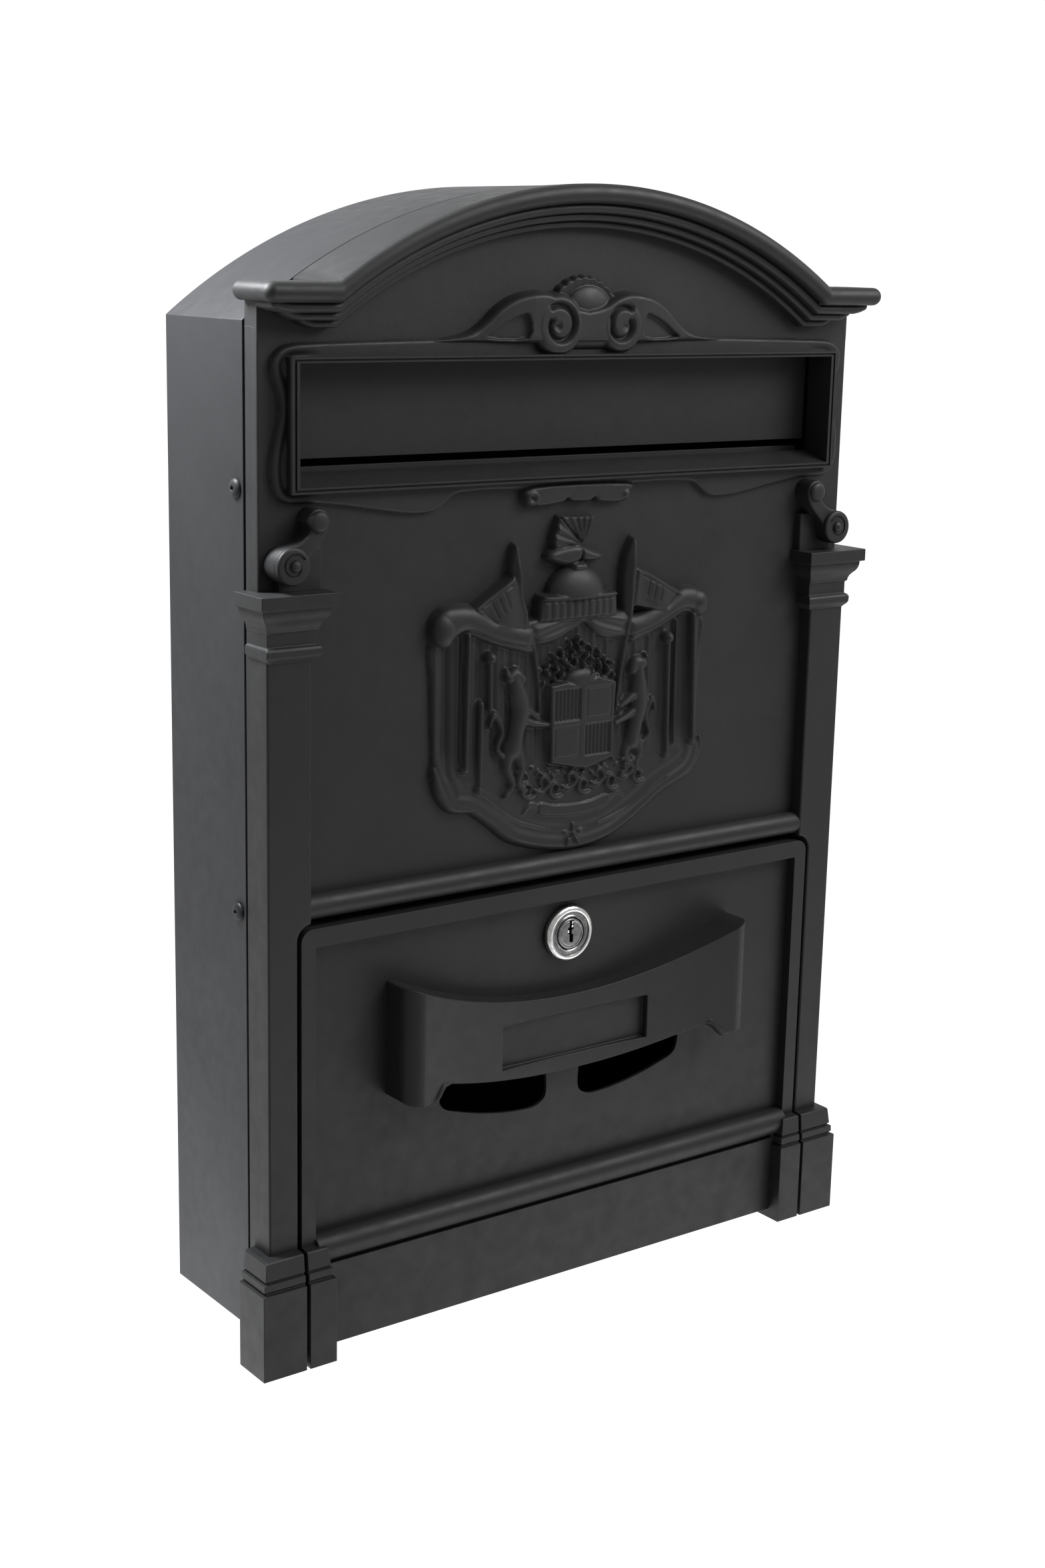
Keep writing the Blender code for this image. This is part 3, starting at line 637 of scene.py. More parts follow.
def cornice():
    """The nose and the rolls under it, the cap behind them, and the ear and shoulder at each side."""
    strand("cornice_nose", 3.3, 3.3, EAR_FRONT, EAR_END, 0.0, -70.0)
    for values in STRANDS:
        strand(*values)
    level = ARC_FOOT[1]
    rings = []
    for x in np.linspace(-112, 112, 113):
        arch = ARC_CENTRE + math.sqrt(max(ARC_RADIUS**2 - x * x, 0))
        top = max(arch, level) if abs(x) < ARC_FOOT[0] else level
        back = SHELL_CENTRE + math.sqrt(SHELL_RADIUS**2 - x * x)
        under = [(x, RIM_BACK, back - 5), (x, EAR_FRONT - 0.2, top - 6.3)]
        rings.append([(x, EAR_FRONT - 0.2, top), (x, RIM_BACK, back), *under])
    cast(loft("cornice_top", rings))
    for name, side in SIDES.items():
        end = arc_points((EAR_END - EAR_ROUND, level - EAR_ROUND), EAR_ROUND, 90, -90, 10)
        outline = [(104, level - 6.4), (104, level), *end]
        ear = prism(f"cornice_ear_{name}", flipped(outline, side), EAR_FRONT, RIM_BACK)
        cast(ear, bevel=0.5, limit=60)
        reach = (side * 121, side * (CAST_HALF - 0.15))
        cast_block(f"shoulder_{name}", reach, (FACE + 0.03, RIM_BACK + 0.05), (356, level - 5.9), bevel=0.4)


# ---------- cartouche round the slot ----------

BORDER_LEFT = (
    (-52, 357.9), (-80, 357.4), (-104, 356.9), (-119.5, 356.2), (-125.2, 352.4), (-125.6, 347.0),
    (-123.2, 340.4), (-122.9, 333.6), (-124.8, 326.0), (-126.1, 318.2), (-125.4, 310.2), (-121.0, 305.4),
    (-109.0, 304.5), (-96.0, 302.9), (-79.3, 300.2), (-69.7, 299.2), (-61.9, 299.8), (-57.0, 302.6),
    (-52.6, 305.2), (-40.0, 305.8), (-24.7, 305.6), (-8, 305.6),
)
BORDER_SCROLL = (
    (-21, 299.6), (-8, 300.2), (-5.6, 301.6), (-3.4, 300.4), (4.4, 300.2), (6.6, 301.4), (9, 299.8),
    (19, 299.4), (22.3, 302.4), (21.5, 306.8), (-22, 306.8),
)
CROWN_RIGHT = (
    (0, 355.6), (30, 355.8), (62, 356.2), (66, 356.9), (60, 357.8), (53, 358.9), (47.5, 360.8),
    (42.6, 364.2), (38.0, 368.2), (32.0, 371.6), (25.5, 373.4), (18.4, 373.8), (12.5, 372.2), (7.0, 369.4),
    (0, 368.0),
)
CROWN_FAN = ((26.0, 357.6), (42.4, 357.7), (39.6, 360.4), (35.4, 363.2), (30.6, 365.4), (26.0, 366.0))
VOLUTES = ((-1, -12.6, 362.2, 11.2), (1, 15.3, 362.2, 10.3))  # turn, x, height and radius


def spiral(centre, start_radius, end_radius, start, turn):
    """A spiral about a centre: angles in degrees, turn negative for clockwise."""
    found = []
    for t in np.linspace(0, 1, 61):
        radius = start_radius + (end_radius - start_radius) * t
        angle = math.radians(start + turn * t)
        found.append((centre[0] + radius * math.cos(angle), centre[1] + radius * math.sin(angle)))
    return found


def cartouche_border():
    """The raised band round the slot, with a thin ridge down each wavy end."""
    r = Relief((-129, 129), (297.5, 361.5), 0.46)
    half = smooth(BORDER_LEFT, 6, closed=False)
    outline = [*half, *((-x, z) for x, z in reversed(half))]
    depth = outline_distance(outline, r.x, r.z)
    r.form(depth, 0.0, 2.2, 1.2, steep=2.5)
    ends = unit((np.abs(r.x) - 108) / 10) * np.where(r.x > 0, 0.4, 1.0)
    ridge = unit(1 - np.abs(depth - 1.5) / 1.3) ** 0.6
    channel = unit(1 - np.abs(depth - 3.9) / 1.4)
    r.height += ends * (0.45 * ridge - 0.8 * channel)
    slot = (np.abs(r.x) < LIP_HALF - 1) & (r.z > LIP_LOW + 1) & (r.z < LIP_HIGH - 1)
    r.outline(smooth(BORDER_SCROLL, 4), 0.5, 3.6, 1.6)
    r.ellipse((-21.4, 302.6), (3.6, 3.4), 0.5, 5.0)
    r.height -= 2.4 * unit(1 - np.hypot(r.x + 21.6, r.z - 302.5) / 1.9)
    r.ellipse((20.6, 302.4), (2.9, 2.8), 0.5, 4.3)
    return dressed(r.mesh("cartouche_border", ~slot), *HOUSING)


def cartouche_crown():
    """Two arms that sweep up from the border into volutes, a roll between them, and a shell behind."""
    r = Relief((-68, 68), (352.6, 382.0), 0.34)
    x, z = r.x, r.z
    half = smooth(CROWN_RIGHT, 6, closed=False)
    depth = outline_distance([*half, *((-px, pz) for px, pz in reversed(half))], x, z)
    climb = unit((46 - np.abs(x)) / 22)
    r.form(depth, 0.0, 3.8 + 1.9 * climb, 2.4, steep=2.5)
    scallops = np.abs(np.sin(np.arctan2(z - 363.0, x) * 13))
    inside = 15.8 + 0.5 * scallops - np.hypot(x * 0.97, (z - 363.0))
    shell = 0.6 + 2.0 * unit(inside / 0.8) - 1.4 * unit((inside - 1.2) / 4)
    shell += 0.25 * scallops
    r.raise_to(np.where(inside > 0, shell, 0.6 + 3 * inside))
    for side, volute_x, volute_height, radius in VOLUTES:
        hollow = outline_distance(smooth(flipped(CROWN_FAN, side), 3), x, z)
        r.height -= 1.9 * unit(hollow / 0.6)
        centre = (volute_x, volute_height)
        r.form(ellipse_distance(centre, (radius, radius), x, z), 1.0, 5.9, 3.4)
        turns = flipped(spiral((0, volute_height), 0.64 * radius, 0.36 * radius, 60, 320), side)
        r.groove([(px + volute_x, pz) for px, pz in turns], 1.8, 2.5)
        r.ellipse(centre, (3.2, 3.2), 2.4, 5.9)
        dimple = np.hypot(x - volute_x - 1.3 * side, z - volute_height + 0.4)
        r.height -= 1.3 * unit(1 - dimple / 2.0)
    roll = 1.5 + 3.4 * np.sqrt(unit(1 - ((z - 360.2) / 6.6) ** 2))
    r.raise_to(np.where((np.abs(x - 2) < 8) & (np.abs(z - 360.2) < 6.6), roll, -SUNK))
    r.ellipse((2.2, 369.0), (9.6, 7.0), 1.4, 4.4)
    return dressed(r.mesh("cartouche_crown", z > 353.0), *HOUSING)


# ---------- crest ----------

CREST_RISE = 0.82  # of the heights below, which were modelled a little proud

MANTLE = (
    (-62.8, 253.8), (-62.6, 240), (-62.0, 222), (-61.1, 208), (-58.0, 199.6), (-54.2, 193.6),
    (-46.5, 191.3), (-37.5, 185.2), (-29.4, 178.8), (-19.5, 174.8), (-8.7, 172.3), (0, 171.2), (9.1, 171.6),
    (18.5, 173.6), (27.1, 177.4), (35.5, 182.4), (43.0, 187.3), (50.5, 190.4), (56.9, 193.8), (60.6, 198.6),
    (62.3, 204.4), (60.8, 209.0), (60.6, 225.0), (61.4, 242.0), (62.0, 254.0), (50, 258), (25, 256),
    (0, 260), (-25, 256), (-50, 258),
)


def crest_mantle(r):
    """The cloak behind everything: hanging folds between two rolled ends, with a turned-up hem."""
    x, z = r.x, r.z
    depth = outline_distance(smooth(MANTLE, 5), x, z)
    r.form(depth, 0.0, 2.6, 2.4, steep=2.0)
    inner = unit(depth / 4)
    upper = unit((z - 205) / 12) * inner
    folds = np.sin(x * 0.93 + 0.6) * 0.45 + np.sin(x * 1.9 + z * 0.02) * 0.22
    r.height += upper * folds
    for centre, half in ((-56.3, 4.6), (50.0, 3.9)):
        hollow = unit(1 - np.abs(x - centre) / half) * unit((z - 204) / 12) * (z < 256)
        r.height -= 1.8 * hollow**0.8 * (depth > 0.6)
    hem = unit((214 - z) / 10) * inner
    r.height += hem * (1.1 + 0.55 * np.cos((depth - 2.2) * 1.35) * unit(1 - depth / 13))
    r.limb([(-61.3, 209), (-57.5, 199.5), (-52.5, 194.4), (-45.5, 192.6)], (1.0, 2.6, 2.6, 1.2), 0.3, 3.7)
    r.limb([(61.2, 208), (61.2, 203), (56.5, 196), (49, 192.0)], (1.2, 2.4, 2.4, 1.2), 0.3, 3.4)


def crest_rolls(r):
    """The cloak's rolled upper corners, and the swag between them."""
    left = [
        (-62.9, 258.3), (-60.8, 264.0), (-56.6, 266.4), (-46.9, 266.0), (-36.6, 261.9), (-27, 258.8),
        (-19.8, 256.1), (-20.6, 247.6), (-27, 248.6), (-33.3, 250.4), (-41, 253.0), (-49.8, 256.6),
        (-55, 254.2), (-59.8, 253.0),
    ]
    right = [
        (22.6, 256.2), (31, 258.2), (39.0, 261.6), (45.6, 264.8), (50.4, 266.2), (56.4, 265.4),
        (61.0, 262.0), (62.0, 257.0), (58.5, 254.8), (51.3, 256.8), (44.5, 254.4), (37.7, 251.2),
        (31, 249.0), (24.6, 247.8),
    ]
    r.outline(smooth(left, 5), 2.6, 6.6, 5.0)
    r.outline(smooth(right, 5), 2.6, 6.4, 5.0)
    r.ellipse((-58.2, 258.6), (5.2, 6.6), 2.6, 7.4)
    r.ellipse((57.4, 260.2), (4.8, 4.8), 2.6, 7.0)
    r.groove(smooth([(-56, 254.6), (-48, 257.6), (-35, 253.0), (-21, 250.0)], 6, closed=False), 0.8, 1.0)
    r.groove(smooth([(56, 256.6), (49, 258.2), (37, 253.2), (24, 250)], 6, closed=False), 0.8, 1.0)
    swag = [
        (-21.4, 259.4), (-20.6, 254), (-18.6, 250.2), (-12.5, 250.0), (-6.8, 251.8), (-1.5, 254.6),
        (2.8, 256.6), (5.6, 254.2), (9.5, 251.2), (15.5, 249.6), (21.8, 250.2), (22.4, 254), (21.6, 259.4),
    ]
    depth = r.outline(smooth(swag, 5), 2.6, 5.6, 3.4)
    sway = np.sin((r.z - 250 + np.abs(r.x - 2.8) * 0.28) * 1.25)
    r.height += unit(depth / 2) * 0.45 * sway


def crest_helm(r):
    """A ribbed collar, a brim, a dome and its knob."""
    x, z = r.x, r.z
    band = [(-18.3, 258.3), (17.5, 258.3), (17.0, 266.2), (-17.6, 266.2)]
    depth = outline_distance(band, x, z)
    curve = 1 - (x / 21.5) ** 2
    ribs = np.abs(np.sin((x + 0.4) / 35.8 * math.pi * 11))
    top = 3.6 + 3.2 * np.sqrt(unit(curve)) + 0.8 * np.sqrt(ribs)
    r.form(depth, 2.8, top, 1.4)
    u, v = (x + 0.5) / 13.0, (z - 266.6) / 11.4
    rise = 1 - u * u - v * v
    dome = np.where((rise > 0) & (z > 266.2), 1.0 + 8.6 * np.sqrt(unit(rise)), -4)
    r.raise_to(dome)
    brim, _ = path_distance([(-16.4, 266.8), (15.6, 266.6)], x, z)
    bow = 6.6 + 2.4 * np.sqrt(unit(1 - (x / 17) ** 2))
    inner = 1.45 - brim
    across = bow * np.sqrt(unit(1 - (brim / 1.45) ** 2))
    r.raise_to(np.where(inner > 0, across, 3.5 * inner))
    r.limb([(-2.2, 277.2), (1.6, 277.2)], (1.9, 1.9), 1.0, 6.8)


def crest_plume(r):
    """A folded fan of ribbon over the helm."""
    x, z = r.x, r.z
    focus = (1.8, 284.9)
    angle = np.arctan2(z - focus[1], x - focus[0])
    pleats = np.sin(angle * 22)
    parts = (
        ([(-9.2, 295.9), (1.8, 284.9), (-10.9, 284.0), (-12.2, 287.6)], 4.8, 1.0),
        ([(-9.2, 295.9), (6.4, 295.5), (5.6, 289.6), (1.8, 284.9)], 4.2, 0.9),
    )
    for outline, top, depth in parts:
        inside = r.outline(outline, 0.6, top, 1.2)
        r.ridges(inside / 0.8, pleats, depth * 0.6)
    left = [(-14.4, 280.6), (-11.4, 284.3), (1.2, 285.2), (1.0, 279.4), (-5.5, 277.6)]
    right = [(1.0, 279.4), (1.4, 284.2), (6, 283.0), (12.3, 280.4), (7.5, 278.6)]
    r.outline(smooth(left, 3), 0.8, 5.6, 2.6)
    r.outline(smooth(right, 3), 0.8, 4.8, 2.2)
    r.groove([(1.2, 285), (1.0, 278.6)], 0.7, 1.2)


def crest_lances(r):
    """Two leaf-bladed lances with a keel down the middle."""
    left = [
        (-27.9, 286.3), (-29.4, 281.5), (-29.7, 276.5), (-28.2, 268.5), (-24.4, 258), (-21.0, 250),
        (-18.6, 240), (-17.3, 230), (-17.2, 223.0), (-16.0, 223.0), (-16.0, 230), (-17.0, 240),
        (-18.8, 250), (-21.6, 258), (-24.4, 268.5), (-24.9, 276.5), (-26.2, 281.5),
    ]
    right = [
        (25.6, 285.8), (23.2, 281.5), (21.8, 276.5), (21.2, 268.5), (21.6, 258), (21.6, 250), (20.2, 240),
        (18.9, 230), (18.4, 223.0), (19.6, 223.0), (20.3, 230), (22.0, 240), (23.8, 250), (25.6, 258),
        (26.6, 268.5), (26.8, 276.5), (26.6, 281.5),
    ]
    for points in (left, right):
        depth = outline_distance(smooth(points, 4), r.x, r.z)
        keel = 4.2 + 1.0 * np.clip(depth, 0, 2.4)
        r.raise_to(np.where(depth > 0, keel, 4.2 + 3.5 * depth))


def crest_flags(r):
    """A plain pennant on each lance, lined along its edge."""
    left = [(-29.2, 275.8), (-46.6, 265.2), (-37.8, 257.6), (-23.0, 256.2), (-22.8, 262.6)]
    right = [(26.6, 275.2), (32.4, 273.0), (48.8, 264.4), (43.0, 257.4), (24.8, 261.4)]
    for points, lines in (
        (left, [[(-30.5, 272.6), (-43.6, 264.9)], [(-43.6, 264.9), (-36.8, 259.4)]]),
        (right, [[(29.2, 272.4), (46.0, 264.0)], [(46.0, 264.0), (41.2, 259.4)]]),
    ):
        depth = r.outline(points, 3.2, 5.8, 0.9)
        sway = np.sin((points[0][0] - r.x) * 0.42)
        r.ridges(depth / 2, sway, 0.5)
        for line in lines:
            r.groove(line, 0.55, 0.8)
    for k in range(3):
        r.groove([(-33.6 - 2.6 * k, 269.8 - 1.6 * k), (-31.0 - 2.6 * k, 264.2 - 1.3 * k)], 0.5, 0.7)
        r.groove([(32.6 + 2.8 * k, 270.0 - 1.5 * k), (31.4 + 2.8 * k, 264.6 - 1.2 * k)], 0.5, 0.7)


def crest_rods(r):
    rods = (
        ([(-48.6, 256), (-49.2, 208)], 1.35, 6.2), ([(-39.0, 245), (-38.6, 229)], 1.5, 5.8),
        ([(-42.4, 231), (-42.7, 200)], 1.6, 5.6), ([(54.7, 255.6), (56.1, 207)], 1.35, 6.0),
        ([(42.7, 246), (43.5, 203)], 1.6, 5.8), ([(46.9, 254), (47.4, 207)], 0.9, 4.6),
    )
    for path, radius, top in rods:
        r.limb(path, (radius, radius), 1.2, top)
    r.ellipse((-38.9, 247.3), (2.7, 2.7), 2.0, 7.6)
    r.ellipse((42.5, 248.0), (2.7, 2.7), 2.0, 7.6)
    for x, low in ((-49.2, 208), (-42.7, 200), (56.1, 207), (43.5, 203)):
        r.ellipse((x, low), (2.5, 2.0), 2.0, 6.0)


BEAST_LIMBS = (  # the path, radii and top of each
    ([(-30.6, 239.2), (-27.6, 240.0), (-24.9, 238.4)], (1.7, 2.7, 1.8), 6.6),
    ([(-28.2, 239), (-26.2, 233), (-24.8, 227), (-26.6, 219.5), (-28, 213)], (2.4, 3.6, 3.6, 3, 3.4), 6.8),
    ([(-25.5, 229), (-21.5, 226.6), (-17.6, 223.6)], (2.0, 1.5, 1.1), 6.2),
    ([(-25.0, 224), (-19.6, 221.8), (-13.4, 220.8)], (1.9, 1.4, 1.0), 6.4),
    ([(-28.5, 214), (-30.8, 207), (-28.4, 200.4), (-31.4, 196.6)], (3.2, 2.2, 1.5, 1.2), 6.2),
    ([(-26.5, 213), (-24.2, 206.4), (-25.8, 200.6), (-22.4, 197.4)], (2.8, 2.0, 1.4, 1.2), 6.0),
    ([(-30.4, 209), (-35.2, 214), (-33, 220.4), (-36.4, 226.7), (-38.6, 222.6)],
     (0.9, 0.9, 1, 1.3, 0.7), 5.4),
    ([(31.0, 239.2), (28.4, 239.6), (25.8, 237.2)], (1.8, 2.6, 1.6), 6.4),
    ([(28.8, 238), (29.6, 231), (30.2, 224.4), (28.4, 217), (27.0, 210)], (2.3, 3.2, 3.4, 2.8, 3.0), 6.6),
    ([(28.6, 228), (24.6, 226.2), (20.4, 224.0)], (1.9, 1.4, 1.0), 6.0),
    ([(28.4, 222), (23.2, 219.6), (18.2, 218.0)], (1.8, 1.3, 1.0), 6.0),
    ([(27.6, 212), (30.6, 206.4), (28.6, 201.2), (31.6, 198.4)], (2.9, 2.0, 1.4, 1.1), 5.8),
    ([(26.4, 211), (23.8, 205.8), (25.0, 201), (22.2, 198.6)], (2.5, 1.8, 1.3, 1.0), 5.6),
    ([(30.2, 208), (35, 212.4), (33.2, 219), (36, 225.8), (37.6, 221.4)], (0.9, 0.9, 1, 1.2, 0.7), 5.2),
)


def crest_beasts(r):
    """Two plain long-bodied beasts that stand on their hind legs and hold the shield."""
    for path, radii, top in BEAST_LIMBS:
        r.limb(path, [1.25 * radius for radius in radii], 2.2, top)
    for x in (-31.6, 32.4):
        r.ellipse((x, 241.6), (1.2, 1.6), 2.2, 5.8)


def crest_garland(r):
    """Leaves and berries heaped in a pointed arch over the shield."""
    bed = [(-18.2, 240.6), (-9, 247.4), (-0.3, 252.6), (9, 247.6), (18.4, 241.4)]
    r.outline([*bed, (17.8, 236.4), (0, 240.5), (-17.4, 235.6)], 0.8, 1.6, 1.2)
    for i in range(11):
        t = (i - 5) / 5
        x = 16.4 * t
        top = 251.6 - 10.6 * abs(t)
        rows = 3 if abs(t) < 0.65 else 2
        for k in range(rows):
            z = top - 4.0 * k - 0.9 * ((i + k) % 2)
            turn = (55 if (i + k) % 2 else -40) + 10 * t + 23 * ((i * 5 + k * 3) % 4 - 1.5)
            wide = 2.1 + 0.35 * ((i * 7 + k * 5) % 3 - 1)
            r.ellipse((x + 0.9 * ((k % 2) - 0.5), z), (wide, 0.95), 1.0, 6.0 + 0.6 * ((i + 2 * k) % 3), turn)
    for i in range(8):
        t = (i - 3.5) / 4
        r.ellipse((15.5 * t, 247.6 - 9.4 * abs(t)), (1.05, 1.05), 2.2, 6.6)


SHIELD_QUARTERS = (  # foot, head, left, right, and whether it is striped
    (221.2, 233.2, -11.0, 1.2, True),
    (207.4, 219.4, 3.4, 15.4, True),
    (221.2, 233.2, 3.4, 15.4, False),
    (207.4, 219.4, -11.0, 1.2, False),
)


def crest_shield(r):
    """A quartered shield: two quarters striped, two plain with a sunk border."""
    x, z = r.x, r.z
    r.form(ellipse_distance((2.6, 235.6), (8.2, 5.0), x, z), 2.2, 6.6, 4.0)
    shield = [
        (-13.0, 235.0), (-5.2, 235.8), (2.0, 234.0), (9.0, 237.0), (17.6, 234.2), (17.0, 220), (16.9, 205.6),
        (4.4, 202.4), (-12.2, 206.2), (-12.6, 220),
    ]
    depth = r.outline(shield, 3.0, 6.6, 0.7)
    rim = (depth > 0.9) & (depth < 40)
    stripes = 0.35 + 0.85 * (0.5 + 0.5 * np.cos((x - 2.2) * 2 * math.pi / 1.75))
    for low, high, left, right, striped in SHIELD_QUARTERS:
        inside = np.minimum(np.minimum(x - left, right - x), np.minimum(z - low, high - z))
        sunk = unit(inside / 0.35) * rim
        r.height -= sunk * (stripes if striped else 0.45 * unit(1.1 - inside))


def crest_foliage(r):
    """Curled leaves under the shield, a blank ribbon, and a small flower at the foot."""
    for k in range(26):
        x = -26.0 + 2.3 * k
        z = 203.6 + 1.7 * math.sin(2.4 * k) - 2.2 * math.cos((x - 2) / 12.5)
        leaf = (2.1 + 0.4 * math.sin(1.7 * k), 0.95)
        r.ellipse((x, z), leaf, 1.6, 5.2 + 0.7 * math.sin(3.1 * k), 62 * math.sin(1.9 * k + 0.6))
    for i, x in enumerate((-21, -14.6, -8.4, -2.0, 4.6, 11.2, 17.8, 24.4, 30.4)):
        side = 1 if i % 2 else -1
        z = 197.6 + 1.5 * side + (1.2 if abs(x - 3) > 20 else 0)
        hook = [(-3.0, -2.6), (0, -3.2), (2.8, -0.6), (1.2, 2.4), (-1.2, 1.4), (-0.6, -0.4)]
        hook = [(x + dx * side, z + dz) for dx, dz in hook]
        r.limb(hook, (0.8, 1.2, 1.3, 1.1, 0.9), 2.0, 5.6)
        r.ellipse((x + 3.0 * side, z + 3.4), (1.6, 0.9), 2.0, 5.2, 40 * side)
    ribbon = [
        (-15.6, 192.0), (-8, 190.4), (0, 189.8), (8, 190.2), (16.4, 191.8), (16.4, 187.2), (8, 185.4),
        (0, 185.0), (-8, 185.6), (-15.6, 187.4),
    ]
    r.outline(smooth(ribbon, 4), 2.2, 4.9, 0.9)
    r.limb([(-15.6, 189.8), (-19.6, 191.6), (-22.6, 188.6)], (1.9, 1.5, 0.9), 2.0, 4.6)
    r.limb([(16.4, 189.6), (20.6, 191.4), (24.0, 188.6)], (1.9, 1.5, 0.9), 2.0, 4.6)
    for k in range(5):
        angle = math.radians(90 + 72 * k)
        centre = (0.4 + 3.4 * math.cos(angle), 177.9 + 3.0 * math.sin(angle))
        r.ellipse(centre, (2.4, 1.35), 1.6, 5.0, math.degrees(angle))
    r.ellipse((0.4, 177.9), (1.5, 1.5), 2.0, 5.8)
    left = [(-40, 196.5), (-33, 190.6), (-24, 185.4), (-10, 180.8)]
    right = [(45, 194), (37, 189.8), (27, 184.8), (12, 180.4)]
    for points in (left, right):
        r.limb(points, (0.5, 0.95, 0.95, 0.5), 2.2, 4.3)


def crest():
    relief = Relief((-65, 65), (169.5, 298), 0.44)
    parts = (
        crest_mantle, crest_rods, crest_rolls, crest_helm, crest_plume, crest_flags, crest_beasts,
        crest_garland, crest_shield, crest_foliage, crest_lances,
    )
    for part in parts:
        part(relief)
    relief.height = np.where(relief.height > 0, CREST_RISE * relief.height, relief.height)
    return dressed(relief.mesh("crest"), *HOUSING)


# ---------- pilasters, capitals, plinths and scrolls ----------

PLINTH_BACK = -55.6
CAPITAL_BACK = -54.2
PLINTH_LEVELS = (
    (0, 6.6, -72.7), (32.2, 6.6, -72.7), (32.5, 5.0, -71.2), (33.0, 4.9, -71.1), (33.4, 5.7, -71.8),
    (35.9, 5.6, -71.7), (36.2, 4.3, -70.5), (36.6, 4.3, -70.5), (37.0, 5.0, -71.2), (43.2, 4.2, -70.6),
    (43.7, 3.6, -70.0), (44.0, 0, -66.9),
)
CAPITAL_LEVELS = (
    (253.2, 0, -66.9), (254.0, 0.6, -67.5), (254.8, 1.4, -68.3), (255.6, 1.9, -68.8), (257.6, 2.0, -68.9),
    (258.5, 1.6, -68.4), (258.9, 0.9, -67.2), (263.4, 0.9, -67.2), (263.7, 1.4, -68.0), (264.9, 1.5, -68.2),
    (266.0, 1.9, -68.7), (267.0, 2.7, -69.4), (268.0, 3.6, -70.3), (269.2, 4.2, -70.9), (270.6, 4.5, -71.2),
    (271.6, 4.5, -71.2), (271.9, 5.9, -72.7), (276.5, 5.9, -72.7),
)
SCROLL_DRUM, SCROLL_EYE = (121.9, 285.4), (111.5, 299.4)
SCROLL_BAND = (
    (115.6, 300.4), (113.6, 303.2), (111.0, 303.7), (108.3, 302.3), (107.3, 299.4), (107.8, 296.6),
    (109.6, 293.4), (112.6, 290.2), (115.2, 287.4), (116.2, 283.6), (118.2, 280.2), (122.0, 279.2),
    (126.0, 280.4), (128.2, 284.0), (127.9, 287.6), (125.6, 290.6), (122.2, 291.8), (118.6, 292.8),
    (115.9, 294.6), (114.4, 296.6), (115.3, 298.6),
)


def stepped(name, levels, x_range, spread_sides, y_back):
    """A block of rectangles, each level a (height, spread, y of its front). Only the named sides spread."""
    rings = []
    for height, spread, front in levels:
        low = x_range[0] - spread * spread_sides[0]
        high = x_range[1] + spread * spread_sides[1]
        corners = ((low, front), (high, front), (high, y_back), (low, y_back))
        rings.append([(x, y, height) for x, y in corners])
    return loft(name, rings)


def pilaster(name, side):
    corner_x, corner_z = OPENING_HALF - OPENING_CORNER, OPENING_TOP - OPENING_CORNER
    corner = arc_points((corner_x, corner_z), OPENING_CORNER, 90, 0, CORNER_STEPS)
    outer = [(CAST_HALF, PILASTER_FOOT), (CAST_HALF, PILASTER_TOP)]
    outline = [*outer, (113.2, PILASTER_TOP), *corner, (OPENING_HALF, PILASTER_FOOT)]
    face = prism(f"pilaster_{name}", flipped(outline, side), RELIEF_FRONT, FACE + 1.4)
    cast(face, bevel=0.8, limit=40, segments=3)
    reach = (side * (CAST_HALF - 3), side * (CAST_HALF - 0.03))
    height = (PILASTER_FOOT, PILASTER_TOP)
    cast_block(f"pilaster_side_{name}", reach, (FACE - 0.5, RIM_BACK + 0.05), height, bevel=0.12)

    reach = sorted((side * OPENING_HALF, side * FOOT_HALF))
    outwards = (1, 0) if side < 0 else (0, 1)
    plinth = stepped(f"plinth_{name}", PLINTH_LEVELS, reach, outwards, PLINTH_BACK)
    cast(plinth, bevel=0.45, limit=20)
    reach = sorted((side * 112.3, side * FOOT_HALF))
    capital = stepped(f"capital_{name}", CAPITAL_LEVELS, reach, (1, 1), CAPITAL_BACK)
    cast(capital, bevel=0.5, limit=28)
    lug = rod(f"hinge_lug_{name}", "X", HINGE, 4.7, side * 119.2, side * 127)
    cast(lug, bevel=0.5, limit=50)


def scroll(name, side):
    """An S-shaped bracket above the capital: a coiled drum at its foot and a small eye at its head."""
    reach = (side * 107.9, side * 124)
    cast_block(f"scroll_slab_{name}", reach, (-64.2, FACE + 0.5), (276.2, 290.8), bevel=0.5)
    band = prism(f"scroll_band_{name}", flipped(smooth(SCROLL_BAND, 5), side), -68.6, FACE + 0.5)
    cast(band, bevel=0.9, limit=50, segments=3)
    profile = [(0, -70.4), (5.5, -70.4), (6.1, -70.1), (6.3, -69.5), (6.3, -60.8), (0, -60.8)]
    drum_x, drum_z = SCROLL_DRUM
    drum = turned(f"scroll_drum_{name}", "Y", (side * drum_x, drum_z), profile)
    coil = [*spiral(SCROLL_DRUM, 4.9, 2.3, 150, -400), *reversed(spiral(SCROLL_DRUM, 4.1, 1.7, 150, -400))]
    cut(drum, prism("coil", flipped(coil, side), -75, -69.95))
    cast(drum)
    profile = [(0, -71.8), (1.0, -71.7), (1.7, -71.3), (2.0, -70.8), (2.0, -69.5), (0, -69.5)]
    boss = turned(f"scroll_boss_{name}", "Y", (side * (drum_x - 0.4), drum_z + 0.2), profile, 40)
    cast(boss)
    profile = [(0, -70.2), (2.2, -70.1), (3.0, -69.8), (3.6, -69.1), (3.7, -68.3), (3.7, -61.0), (0, -61.0)]
    eye = turned(f"scroll_eye_{name}", "Y", (side * SCROLL_EYE[0], SCROLL_EYE[1]), profile, 40)
    cast(eye)


# ---------- collection door ----------

